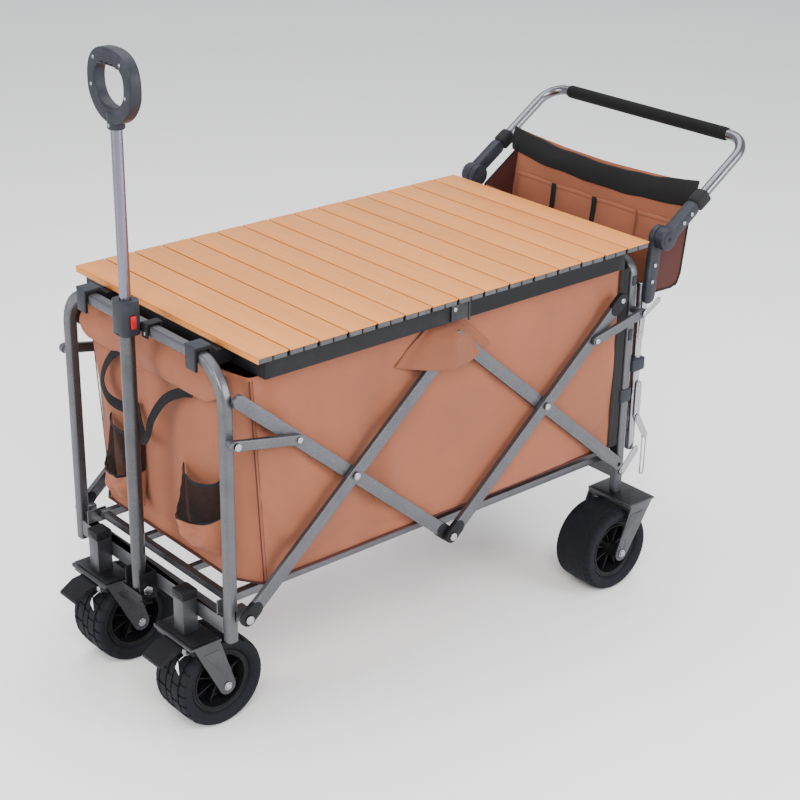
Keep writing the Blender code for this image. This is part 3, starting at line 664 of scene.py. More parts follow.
class WAGON_OT_stage(bpy.types.Operator):
    """Camera, pale floor and soft studio light"""
    bl_idname = "wagon.stage"
    bl_label = "Stage"

    def execute(self, context):
        position = Vector((1.9518, 2.2282, 1.7232))
        turn, rise, roll = (math.radians(a) for a in (138.786, 24.153, 1.0635))
        back = Vector((math.sin(turn) * math.cos(rise), -math.cos(turn) * math.cos(rise), math.sin(rise)))
        right = UP.cross(back).normalized()
        top = back.cross(right)
        right, top = (right * math.cos(roll) + top * math.sin(roll),
                      top * math.cos(roll) - right * math.sin(roll))
        lens = bpy.data.cameras.new("camera")
        lens.lens, lens.sensor_width = 77.916, 36.0
        camera = bpy.data.objects.new("camera", lens)
        camera.matrix_world = Matrix.Translation(position) @ Matrix((right, top, back)).transposed().to_4x4()
        context.scene.collection.objects.link(camera)
        context.scene.camera = camera

        world = bpy.data.worlds.new("studio")
        world.use_nodes = True
        world.node_tree.nodes["Background"].inputs[0].default_value = (0.95, 0.97, 1.0, 1)
        world.node_tree.nodes["Background"].inputs[1].default_value = 1.0
        context.scene.world = world

        target = Vector((MIDDLE, 0, 0.45))
        for name, spot, size, power, tint in (
                ("key", (2.2, 2.6, 3.2), 2.0, 190, (1.0, 0.97, 0.93)),
                ("side", (-1.6, 3.4, 1.6), 2.0, 130, (0.96, 0.98, 1.0)),
                ("front", (3.4, -0.8, 1.4), 1.6, 70, (1.0, 0.98, 0.96)),
                ("over", (-0.4, -0.6, 3.6), 3.0, 120, (1.0, 1.0, 1.0))):
            lamp = bpy.data.lights.new(name, "AREA")
            lamp.size, lamp.energy, lamp.color = size, power, tint
            holder = bpy.data.objects.new(name, lamp)
            holder.matrix_world = (Matrix.Translation(spot)
                                   @ (target - Vector(spot)).to_track_quat("-Z", "Y").to_matrix().to_4x4())
            context.scene.collection.objects.link(holder)

        floor = start("grid", "floor", x_subdivisions=4, y_subdivisions=4, size=14)
        paint = Paint("pale_floor", 0.85)
        dust = paint.noise(paint.place(), 3, 4)
        paint.feed("Base Color", paint.blend(dust, (0.86, 0.86, 0.86), (0.90, 0.90, 0.90)))
        floor.data.materials.append(paint.material)
        return {"FINISHED"}


# ---- steelwork ----------------------------------------------------------------------

class WAGON_OT_steelwork(bpy.types.Operator):
    """The carried-over steel and plastic parts with rounded edges"""
    bl_idname = "wagon.steelwork"
    bl_label = "Steelwork"

    def execute(self, context):
        mix_finishes(context.scene.wagon_colours)
        for node in ("floor_front", "floor_rear", "front_crossbar"):
            round_off(node, "steel", 0.0014, 3)
        round_off("handle_bracket", "black", 0.0020, 3)
        round_off("handle_catch", "black")
        for label, _ in SIDES:
            round_off(f"caster_post_{label}", "fork_steel", 0.0015, 3)
            for letter in "abcd":
                round_off(f"scissor_bar_{letter}_{label}", "steel", 0.0026, 4)
            for end in ("front", "rear"):
                round_off(f"{end}_link_{label}", "steel", 0.0022, 3)
                round_off(f"{end}_fork_{label}", "fork_steel", 0.0010, 3)
            round_off(f"latch_{label}", "bright", 0.0008, 2)
            round_off(f"push_post_{label}", "bright", 0.0008, 2)
            round_off(f"brake_pedal_{label}", "black", 0.0014, 3)
        for end in ("front", "rear"):
            round_off(f"table_frame_{end}", "black", 0.0012, 2)
        round_off("tailgate_frame", "steel", 0.0008, 2)
        return {"FINISHED"}


class WAGON_OT_hoops(bpy.types.Operator):
    """Front and rear hoops of square tube with rounded corners, and their lugs"""
    bl_idname = "wagon.hoops"
    bl_label = "Hoops"

    def execute(self, context):
        pivot_z = PIVOT["fold"].z
        link_z = PIVOT["front_link_left_turn"].z
        for name, body, x, top, foot, corner in (
                ("front_hoop", "front_frame", POST_X, HOOP_TOP, HOOP_FOOT, HOOP_CORNER),
                ("rear_hoop", "rear_frame", REAR_X, REAR_TOP, REAR_LOW.z, REAR_CORNER)):
            first = Vector((x, POST_Y, foot))
            hoop = tube(f"{name}_tube", first, UP, TUBE_R - 0.0002,
                        bow_path(first, (0, 0, top - foot), POST_Y, corner), corner=0.0052)
            end = 1 if x > MIDDLE else -1
            pivot_x = MIDDLE + end * (PIVOT["fold"].x - MIDDLE)
            extras = [hoop]
            for _, side in SIDES:
                extras.append(block("lug", (min(x, pivot_x - 0.012 * end), side * 0.222, pivot_z - 0.012),
                                    (max(x, pivot_x - 0.012 * end), side * 0.2378, pivot_z + 0.012), 0.002))
                post_pin = 0.2480 if end > 0 else 0.2582
                extras.append(peg("boss", (x, side * 0.230, link_z), (0, side, 0), 0.0068, post_pin - 0.230))
            if end < 0:
                extras.append(block("rear_crossbar", (x - TUBE_R, -POST_Y, 0.210),
                                    (x + TUBE_R, POST_Y, 0.240), 0.0015))
                for _, side in SIDES:
                    extras.append(block("gate_ear", (x - 0.0235, side * 0.150, 0.212),
                                        (x - 0.008, side * 0.170, 0.256), 0.001))
            mount(join(f"{name}_tube", extras), body, "steel", (name,))
        return {"FINISHED"}


class WAGON_OT_scissor_fittings(bpy.types.Operator):
    """Black end boots and bright rivets of the scissor bars and links"""
    bl_idname = "wagon.scissor_fittings"
    bl_label = "Scissor fittings"

    def execute(self, context):
        cross = PIVOT["fold_b_left"]
        rise = Vector((cross.x - MIDDLE, 0, cross.z - PIVOT["fold"].z)).normalized()
        link_z = cross.z + (LINK_REACH - (cross.x - MIDDLE)) * rise.z / rise.x
        rear_tip = Vector((MIDDLE - TIP_REACH * rise.x, 0, PIVOT["fold"].z + TIP_REACH * rise.z))
        for label, side in SIDES:
            rivets = {
                "front_frame": [rivet((PIVOT["fold"].x, side * HEAD_FACE, PIVOT["fold"].z), side, 0.0075),
                                rivet((POST_X, side * HEAD_FACE, PIVOT["front_link_left_turn"].z), side)],
                f"bar_b_{label}": [rivet((MIDDLE, side * HEAD_FACE, PIVOT["fold_c_left"].z), side, 0.0075),
                                   rivet((cross.x, side * HEAD_FACE, cross.z), side)],
                f"bar_d_{label}": [rivet((2 * MIDDLE - cross.x, side * HEAD_FACE, cross.z), side)],
                f"front_link_{label}": [rivet((MIDDLE + LINK_REACH, side * OUTER_FACE, link_z), side,
                                              0.0055)],
                f"rear_link_{label}": [rivet((MIDDLE - LINK_REACH, side * 0.2655, link_z), side, 0.0055)],
                "rear_frame": [rivet((REAR_X, side * 0.2683, PIVOT["front_link_left_turn"].z), side, 0.0058)],
            }
            for body, heads in rivets.items():
                mount(join(f"rivets_{body}_{label}", heads), body, "bright")

            ends = (("a", Vector((PIVOT["fold"].x, 0, PIVOT["fold"].z)), Vector((-rise.x, 0, rise.z)), True),
                    ("b", Vector((MIDDLE, 0, PIVOT["fold"].z)), rise, False),
                    ("c", Vector((MIDDLE, 0, PIVOT["fold"].z)), Vector((-rise.x, 0, rise.z)), True),
                    ("c", rear_tip, Vector((rise.x, 0, -rise.z)), True))
            for number, (letter, tip, inward, outer) in enumerate(ends):
                low, high = (0.2484, 0.2588) if outer else (0.2366, 0.2479)
                boot = flat_bar(f"boot_{number}_{label}", tip, tip + inward * 0.020, BAR_R + 0.0016,
                                *sorted((side * low, side * high)), 0.002)
                mount(boot, f"bar_{letter}_{label}", "black")
            cap = rivet((rear_tip.x, side * 0.2588, rear_tip.z), side, 0.0052, 0.0016)
            mount(join(f"tip_rivet_{label}", [cap]), f"bar_c_{label}", "bright")
        return {"FINISHED"}


# ---- wheels -------------------------------------------------------------------------

def tread_profile(grooved):
    """Half of a tyre's outline from the rim over the side to the crown, as (radius, width)."""
    side = [(0.0583, 0.0350), (0.0600, 0.0380), (0.0640, 0.0418), (0.0680, 0.0440), (0.0700, 0.0436),
            (0.0708, 0.0444), (0.0745, 0.0450), (0.0778, 0.0438), (0.0800, 0.0415), (0.0816, 0.0380)]
    if not grooved:
        return side + [(0.0824, 0.0330), (0.0818, 0.0322), (0.0826, 0.0314), (0.0829, 0.0220),
                       (0.0822, 0.0212), (0.0830, 0.0204), (0.0830, 0.0100)]
    return side + [(0.0824, 0.0300), (0.0800, 0.0295), (0.0800, 0.0265), (0.0828, 0.0260),
                   (0.0830, 0.0180), (0.0830, 0.0095), (0.0804, 0.0090), (0.0804, 0.0065), (0.0830, 0.0060)]


class WAGON_OT_wheels(bpy.types.Operator):
    """Tyres with tread, ribbed hubs and axle nuts"""
    bl_idname = "wagon.wheels"
    bl_label = "Wheels"

    def execute(self, context):
        for end in ("front", "rear"):
            for label, _ in SIDES:
                self.wheel(end, label)
        return {"FINISHED"}

    def wheel(self, end, label):
        body = f"{end}_wheel_{label}"
        centre = PIVOT[f"{end}_wheel_{label}_spin"]
        owner = frame["nodes"][f"{end}_axle_{label}"]["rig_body"]
        self.tyre(end, label, body, centre)
        self.hub(end, label, body, centre)
        self.axle_ends(end, label, owner, centre)
        self.fork_pressings(end, label, owner, centre)

    @staticmethod
    def tyre(end, label, body, centre):
        half = tread_profile(end == "front")
        profile = half + [(radius, -y) for radius, y in reversed(half)]
        steps = 96
        tyre = turned(f"tyre_{end}_{label}_tread", profile + profile[:1], centre, LEFT, steps)

        def angle_step(point):
            return int((math.atan2(point.z - centre.z, point.x - centre.x) + math.pi) / math.tau * steps)

        def shoulder(point, normal):
            radius = math.hypot(point.x - centre.x, point.z - centre.z)
            width = abs(point.y - centre.y)
            every = 4 if end == "front" else 3
            return radius > 0.0785 and 0.0305 < width < 0.0432 and angle_step(point) % every == 0

        pick(tyre, shoulder)
        bpy.ops.mesh.extrude_region_shrink_fatten(
            TRANSFORM_OT_shrink_fatten={"value": -0.0018 if end == "front" else -0.0008})
        if end == "front":
            def sipe(point, normal):
                width = point.y - centre.y
                shift = 3 if width > 0 else 0
                radius = math.hypot(point.x - centre.x, point.z - centre.z)
                outer = radius > 0.0822 and 0.0092 < abs(width) < 0.0262
                return outer and (angle_step(point) + shift) % 6 == 0

            def centre_sipe(point, normal):
                radius = math.hypot(point.x - centre.x, point.z - centre.z)
                middle = radius > 0.0822 and abs(point.y - centre.y) < 0.0062
                return middle and (angle_step(point) + 1) % 6 == 0

            for test in (sipe, centre_sipe):
                pick(tyre, test)
                bpy.ops.mesh.extrude_region_shrink_fatten(TRANSFORM_OT_shrink_fatten={"value": -0.0018})
        close(tyre)
        mount(smooth(tyre, 30), body, "rubber", (f"tyre_{end}_{label}",))

    @staticmethod
    def hub(end, label, body, centre):
        face = [(0.0044, 0.0480), (0.0110, 0.0480), (0.0125, 0.0470), (0.0140, 0.0160), (0.0170, 0.0120),
                (0.0400, 0.0095), (0.0440, 0.0110), (0.0478, 0.0320), (0.0490, 0.0350), (0.0515, 0.0352),
                (0.0525, 0.0338), (0.0560, 0.0340), (0.0578, 0.0356)]
        hub = turned(f"hub_{end}_{label}_shell", face + [(r, -y) for r, y in reversed(face)] + face[:1],
                     centre, LEFT, 64)
        ribs = [hub]
        for k in range(8):
            for way in (1, -1):
                rib = block("rib", centre + Vector((0.0125, way * 0.0085, -0.0014)),
                            centre + Vector((0.0462, way * 0.0265, 0.0014)), 0.0006)
                ribs.append(swing(rib, centre, math.tau * (k + 0.5) / 8))
        mount(join(hub.name, ribs), body, "hub", (f"hub_{end}_{label}",))

    @staticmethod
    def axle_ends(end, label, owner, centre):
        low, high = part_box(f"{end}_axle_{label}")
        parts = [peg("shaft", (centre.x, low.y + 0.003, centre.z), LEFT, 0.0040, high.y - low.y - 0.006)]
        for tip, way in ((high.y - 0.0045, 1), (low.y + 0.0045, -1)):
            for kind, out, radius, length, soft, sides in (
                    ("washer", -0.0001, 0.0076, 0.0012, 0.0003, 24),
                    ("nut", 0.0008, 0.0060, 0.0030, 0.0005, 6),
                    ("stud", 0.002, 0.0038, 0.0025, 0.0008, 24)):
                parts.append(peg(kind, (centre.x, tip + way * out, centre.z), (0, way, 0), radius, length,
                                 soft, sides))
        mount(join(f"{end}_axle_{label}_nuts", parts), owner, "bright",
              (f"{end}_axle_{label}",))

    @staticmethod
    def fork_pressings(end, label, owner, centre):
        """Rolled edge, pressed side panels and top deck of a fork."""
        fork_low, fork_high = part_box(f"{end}_fork_{label}")
        if end == "front":
            edge_x, edge_drop = fork_high.x - 0.001, 0.0065
            lean, reaches = 0.006, (0.018, 0.014, 0.010, 0.009)
            plate = (fork_high.x - 0.060, fork_high.x)
        else:
            edge_x, edge_drop = fork_low.x + 0.001, 0.003
            lean, reaches = -0.006, (0.014, 0.018, 0.009, 0.010)
            plate = (fork_low.x, fork_low.x + 0.068)
        details = [peg("rolled_edge", (edge_x, fork_low.y + 0.002, fork_high.z - edge_drop), LEFT, 0.0026,
                       fork_high.y - fork_low.y - 0.004, 0.0008)]
        head_x = (fork_low.x + fork_high.x) / 2 + lean
        outline = [(head_x - reaches[0], FORK_PANEL_TOP), (head_x + reaches[1], FORK_PANEL_TOP),
                   (centre.x + reaches[2], FORK_PANEL_FOOT), (centre.x - reaches[3], FORK_PANEL_FOOT)]
        for y, way in ((fork_high.y, 1), (fork_low.y, -1)):
            details.append(prism("pressed_panel", [Vector((x, y - way * 0.0010, z)) for x, z in outline],
                                 (0, way * 0.0016, 0), 0.0007))
        if end == "rear":
            details.append(block("crown_flange", (plate[1] - 0.0020, fork_low.y + 0.003, 0.1680),
                                 (plate[1] + 0.0006, fork_high.y - 0.003, fork_high.z - 0.001), 0.0008))
        mount(join(f"{end}_fork_{label}_pressing", details), owner, "fork_steel")
        deck = block(f"{end}_fork_{label}_deck", (plate[0] + 0.003, fork_low.y + 0.004, fork_high.z + 0.0001),
                     (plate[1] - 0.004, fork_high.y - 0.004, fork_high.z + 0.0009), 0.0003)
        mount(deck, owner, "dark_steel")


class WAGON_OT_brakes(bpy.types.Operator):
    """Ribbed pedal pads and spring wires at the front wheels, and caps on the caster posts"""
    bl_idname = "wagon.brakes"
    bl_label = "Brakes"

    def execute(self, context):
        for label, _ in SIDES:
            at = PIVOT[f"brake_{label}_press"]
            pads = []
            for k in range(5):
                y = at.y + (k - 2) * 0.010
                rib = block("pad_rib", (at.x + 0.014, y - 0.0032, at.z - 0.0075),
                            (at.x + 0.048, y + 0.0032, at.z + 0.0005), 0.0012)
                pads.append(swing(rib, at, math.radians(17)))
            mount(join(f"brake_ribs_{label}", pads), f"brake_{label}", "black")
            wires = [turned("coil", [(0.0050 + 0.0008 * math.cos(a), k * 0.0022 + 0.0008 * math.sin(a))
                                     for a in [math.tau * n / 8 for n in range(9)]],
                            at + Vector((0.006, 0.034, 0)), LEFT, 20) for k in range(4)]
            wires.append(peg("tail", at + Vector((0.010, 0.043, 0.0005)), (1, 0.1, -0.35), 0.0008, 0.016,
                             0, 8))
            mount(join(f"brake_spring_{label}", wires), f"caster_{label}", "bright")
            peak = at + Vector((0.0275, 0.0445, -0.006))
            tag = prism(f"brake_tag_{label}", [peak, peak + Vector((0.003, 0.007, -0.022)),
                                               peak + Vector((-0.001, -0.010, -0.017))], (0.0005, 0, 0), 0)
            mount(tag, f"caster_{label}", "tag")
            low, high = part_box(f"caster_post_{label}")
            cap = block(f"post_cap_{label}", (low.x - 0.0002, low.y - 0.0012, high.z - 0.014),
                        (high.x + 0.0012, high.y + 0.0012, high.z + 0.0022), 0.002, 3)
            notch = block("notch", (high.x - 0.001, low.y + 0.006, high.z - 0.009),
                          (high.x + 0.0020, high.y - 0.006, high.z - 0.003), 0.0006)
            mount(join(cap.name, [cap, notch]), "front_frame", "black")
        return {"FINISHED"}


# ---- tub ----------------------------------------------------------------------------

def settle_cloth(thing, slack, limit):
    """Let the tub's walls hang and buckle a little between their held edges, by a cloth simulation."""
    rest = [vertex.co.copy() for vertex in thing.data.vertices]
    cloth_modifier = thing.modifiers.new("Cloth", "CLOTH")
    settings = cloth_modifier.settings
    settings.quality = 6
    settings.mass = 0.4
    settings.tension_stiffness = settings.compression_stiffness = 18
    settings.shear_stiffness = 8
    settings.bending_stiffness = 2.5
    settings.shrink_min = -slack
    settings.vertex_group_mass = "held"
    cloth_modifier.collision_settings.use_collision = False
    scene = bpy.context.scene
    last = 22
    for number in range(1, last + 1):
        scene.frame_set(number)
    only(thing)
    bpy.ops.object.modifier_apply(modifier="Cloth")
    for vertex, before in zip(thing.data.vertices, rest):
        move = vertex.co - before
        if move.length > limit:
            vertex.co = before + move * (limit / move.length)
    scene.frame_set(1)


class WAGON_OT_tub(bpy.types.Operator):
    """The sewn canvas tub, settled as cloth between its held edges"""
    bl_idname = "wagon.tub"
    bl_label = "Tub"

    def execute(self, context):
        sizes = context.scene.wagon_sizes
        lift = 0.0125
        low, high = TUB_LOW.copy(), TUB_HIGH + UP * lift
        span = high - low
        tub = start("cube", "tub_canvas", size=1, location=(low + high) / 2, scale=span)
        pick(tub, lambda point, normal: normal.z > 0.9)
        bpy.ops.mesh.delete(type="FACE")
        cell = 0.0145
        for axis, length in enumerate(span):
            for k in range(1, round(length / cell)):
                spot = low.copy()
                spot[axis] += length * k / round(length / cell)
                normal = Vector((0, 0, 0))
                normal[axis] = 1
                bpy.ops.mesh.select_all(action="SELECT")
                bpy.ops.mesh.bisect(plane_co=spot, plane_no=normal)
        close(tub)
        held = tub.vertex_groups.new(name="held")
        for vertex in tub.data.vertices:
            edge_x = min(vertex.co.x - low.x, high.x - vertex.co.x)
            edge_y = min(vertex.co.y - low.y, high.y - vertex.co.y)
            rim = vertex.co.z > high.z - 0.004 or vertex.co.z < low.z + 0.004
            if rim or max(edge_x, edge_y) < 0.004:
                held.add([vertex.index], 1.0, "REPLACE")
        settle_cloth(tub, sizes.slack, 0.015)
        for vertex in tub.data.vertices:
            front_edge = vertex.co.x > high.x - 0.003
            if not front_edge and abs(vertex.co.y) > 0.2:
                vertex.co.y = math.copysign(min(abs(vertex.co.y), 0.2364), vertex.co.y)
            vertex.co.x = min(max(vertex.co.x, low.x - 0.006), high.x + 0.010)
        for vertex in tub.data.vertices:
            vertex.co.x -= self.corner_cut(vertex.co, low, high)
        self.map_metres(tub)
        modify(tub, "SOLIDIFY", thickness=sizes.wall, offset=-1)
        modify(tub, "SUBSURF", levels=1, render_levels=1)
        smooth(tub, 50)
        mount(tub, "front_frame", "canvas", ("tub",))
        self.fold(tub)
        self.trim(low, high, sizes)
        return {"FINISHED"}

    @staticmethod
    def corner_cut(point, low, high):
        """How far the front corners are drawn in, most at the foot of the side seams."""
        outward = min(max((abs(point.y) - CUT_TURN) / (high.y - CUT_TURN), 0), 1)
        forward = min(max((point.x - high.x + 0.070) / 0.070, 0), 1)
        share = min(max((high.z - point.z) / (high.z - low.z), 0), 1)
        return outward * forward * (0.011 + 0.022 * share)

    @staticmethod
    def map_metres(thing):
        """Lay the cloth's own map over each wall, in metres."""
        mesh = thing.data
        layer = mesh.uv_layers.active or mesh.uv_layers.new(name="cloth")
        for face in mesh.polygons:
            normal = face.normal
            for index in face.loop_indices:
                point = mesh.vertices[mesh.loops[index].vertex_index].co
                if abs(normal.z) > 0.7:
                    layer.data[index].uv = (point.x, point.y)
                elif abs(normal.x) > abs(normal.y):
                    layer.data[index].uv = (point.y, point.z)
                else:
                    layer.data[index].uv = (point.x, point.z)

    @staticmethod
    def fold(thing):
        """Give the piece its own copy of its mesh."""
        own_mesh(thing)

    def trim(self, low, high, sizes):
        """Binding along the bottom, piping down the corners, and the hem over the front edge."""
        def seam(first, last, radius):
            run = Vector(last) - Vector(first)
            return peg("piping", first, run, radius, run.length, 0, 10)

        foot, nose = low.z + 0.0042, 0.186
        cut_foot, cut_top = high.x - 0.033, high.x - 0.011
        bindings = [seam((high.x - 0.0016, -nose, foot), (high.x - 0.0016, nose, foot), 0.0026),
                    seam((low.x + 0.0016, low.y, foot), (low.x + 0.0016, high.y, foot), 0.0026)]
        for _, side in SIDES:
            y = side * (high.y + 0.0006)
            edge = y - side * 0.0016
            bindings.append(seam((low.x, edge, foot), (cut_foot, edge, foot), 0.0026))
            bindings.append(seam((cut_foot, edge, foot), (high.x - 0.0016, side * nose, foot), 0.0026))
            bindings.append(seam((cut_foot, y, foot), (cut_top, y, high.z - 0.006), 0.0010))
            bindings.append(seam((cut_foot - 0.006, y, foot), (cut_top - 0.006, y, high.z - 0.006), 0.0004))
            bindings.append(seam((low.x, y, foot), (low.x, y, high.z - 0.004), 0.0016))
        binding = mount(join("tub_binding", bindings), "front_frame", "lining")
        self.fold(binding)

        left, right = -0.207, 0.200
        width = right - left

        def hem(u, v):
            y = left + u * width
            end = max(0.0, (u - 0.82) / 0.18)
            drop = v * (sizes.hem + 0.016 - 0.030 * end * end)
            roll = math.sin(math.pi * min(1.0, v * 0.92 + 0.06))
            flare = max(0.0, 1 - u / 0.10) + max(0.0, 1 - (1 - u) / 0.12)
            out = 0.0030 + (0.0095 + 0.0075 * flare) * roll + 0.0075 * v
            wave = ripple((y, 3, v * 0.02), 13, 0.0075) * v + ripple((y, 7, v * 0.1), 31, 0.0030) * v
            return Vector((high.x + out + wave, y - 0.004 * flare * roll, high.z + 0.001 - drop + wave * 0.5))

        for label, side in SIDES:
            def gusset(u, v):
                out = high.y + 0.0006 + 0.0012 * math.sin(math.pi * u)
                return Vector((low.x + 0.0080 - 0.0295 * u, side * out,
                               low.z + 0.002 + (high.z - low.z - 0.012) * v))

            strip = cloth(f"rear_gusset_{label}", 6, 30, gusset, (0.0295, high.z - low.z - 0.012), 0.0012)
            mount(strip, "front_frame", "band")
            self.fold(strip)

        front_hem = cloth("front_hem", 60, 14, hem, (width, sizes.hem), 0.0016)
        mount(front_hem, "front_frame", "canvas")
        self.fold(front_hem)


class WAGON_OT_front_pockets(bpy.types.Operator):
    """Two cup pockets with net tops and two webbing loops on the tub's front wall"""
    bl_idname = "wagon.front_pockets"
    bl_label = "Front pockets"

    def execute(self, context):
        sizes = context.scene.wagon_sizes
        wall = TUB_HIGH.x + 0.0045
        for name, first, last, foot, seam, top in (
                ("right", -0.150, -0.048, 0.322, 0.392, 0.474),
                ("left", 0.070, 0.176, 0.322, 0.392, 0.462)):
            middle, half = (first + last) / 2, (last - first) / 2

            def cup(u, v):
                angle = (u - 0.5) * math.pi
                swell = math.sin(math.pi / 2 * min(1.0, v * 1.6 + 0.02)) ** 0.7
                depth = 0.040 * swell + (ripple((u * 3, v * 2, middle * 20), 1.9, 0.013)
                                         + ripple((u * 5, v * 4, middle * 9), 2.3, 0.006)) * swell
                return Vector((wall + depth * math.cos(angle),
                               middle + half * math.sin(angle) * (0.82 + 0.18 * v),
                               foot + (seam - foot) * v - 0.010 * math.cos(angle) * v
                               + 0.012 * (u - 0.5) * v))

            def net(u, v):
                angle = (u - 0.5) * math.pi
                depth = (0.040 * (1 - 0.60 * v)
                         + ripple((u * 4, v * 3, middle * 30), 2.2, 0.012) * (1 - 0.7 * v))
                sag = 0.008 * max(0.0, math.cos(angle)) ** 0.5 * v
                return Vector((wall + depth * math.cos(angle), middle + half * math.sin(angle),
                               seam + (top - seam) * v - 0.010 * math.cos(angle) - sag + 0.012 * (u - 0.5)))

            across = math.pi / 2 * half * 1.3
            pouch = cloth(f"cup_pocket_{name}", 26, 12, cup, (across, seam - foot), 0.0014)
            mount(pouch, "front_frame", "canvas")
            mesh_top = cloth(f"cup_net_{name}", 26, 12, net, (across, top - seam), 0.0)
            mount(mesh_top, "front_frame", "net")
            edge = cloth(f"cup_hem_{name}", 26, 2,
                         lambda u, v: net(u, 1.0) + Vector((0.0012, 0, (v - 0.5) * 0.007)),
                         (across, 0.007), 0.0012)
            mount(edge, "front_frame", "webbing")
            seam_tape = cloth(f"cup_tape_{name}", 26, 2,
                              lambda u, v: cup(u, 1.0) + Vector((0.0014, 0, (v - 0.5) * 0.005)),
                              (across, 0.005), 0.001)
            mount(seam_tape, "front_frame", "webbing")
            for thing in (pouch, mesh_top, edge, seam_tape):
                WAGON_OT_tub.fold(thing)

        loops = (("right", [(0.004, -0.100, 0.606), (0.010, -0.122, 0.588), (0.016, -0.140, 0.560),
                            (0.020, -0.143, 0.532), (0.018, -0.128, 0.508), (0.010, -0.098, 0.500),
                            (0.005, -0.060, 0.508)], (0.92, -0.25, 0.25)),
                 ("left", [(0.004, 0.108, 0.596), (0.010, 0.086, 0.590), (0.020, 0.050, 0.568),
                           (0.028, 0.022, 0.528), (0.027, 0.004, 0.490), (0.020, -0.020, 0.470),
                           (0.012, -0.046, 0.484), (0.006, -0.066, 0.516)], (0.85, 0.10, 0.45)))
        for name, points, facing in loops:
            route = [Vector((wall + x, y, z)) for x, y, z in points]
            loop = webbing(f"webbing_loop_{name}", route, facing, sizes.webbing)
            mount(loop, "front_frame", "webbing")
            WAGON_OT_tub.fold(loop)
        return {"FINISHED"}


class WAGON_OT_flaps(bpy.types.Operator):
    """Canvas caps over the top hubs in canvas darkened as painted shade, and the maroon flap behind the rear
    hoop
    """
    bl_idname = "wagon.flaps"
    bl_label = "Flaps"

    def execute(self, context):
        for label, side in SIDES:
            def tent(u, v):
                across = 1 - 2 * u
                ridge = max(0.0, 1 - abs(across - 0.02) * 1.25)
                x = MIDDLE + 0.016 + across * (0.034 + 0.078 * v)
                foot = 0.578 + 0.016 * across ** 2 + 0.006 * across
                z = 0.6575 - (0.6575 - foot) * v + ripple((x * 20, v * 2, side), 1.0, 0.004) * v
                out = 0.2372 + (0.0335 - 0.004 * v) * ridge ** 0.6 * min(1.0, v * 3.2) + 0.002 * v
                return Vector((x, side * (out + ripple((x * 18, v * 3, side), 1.3, 0.002)), z))

            cap = cloth(f"hub_cap_flap_{label}", 30, 16, tent, (0.20, 0.10), 0.0014)
            # The caps take the darkened canvas: painted shade for the shadow on the flap.
            mount(cap, "front_frame", "shaded")
            WAGON_OT_tub.fold(cap)

        def bulge(u, v):
            y = (u - 0.5) * 0.412
            end = 1 - abs(2 * u - 1) ** 6
            swell = math.sin(math.pi * v) ** 0.8
            x = REAR_X - TUBE_R - 0.0035 - 0.037 * swell * (0.80 + 0.20 * end)
            return Vector((x + ripple((y * 12, v * 2, 4), 1.4, 0.004) * swell, y,
                           REAR_TOP + 0.006 - 0.102 * v + ripple((y * 7, 1, v), 1.6, 0.005) * v))

        flap = cloth("rear_flap", 56, 14, bulge, (0.412, 0.13), 0.0014)
        mount(flap, "rear_frame", "maroon")
        return {"FINISHED"}


# ---- table --------------------------------------------------------------------------

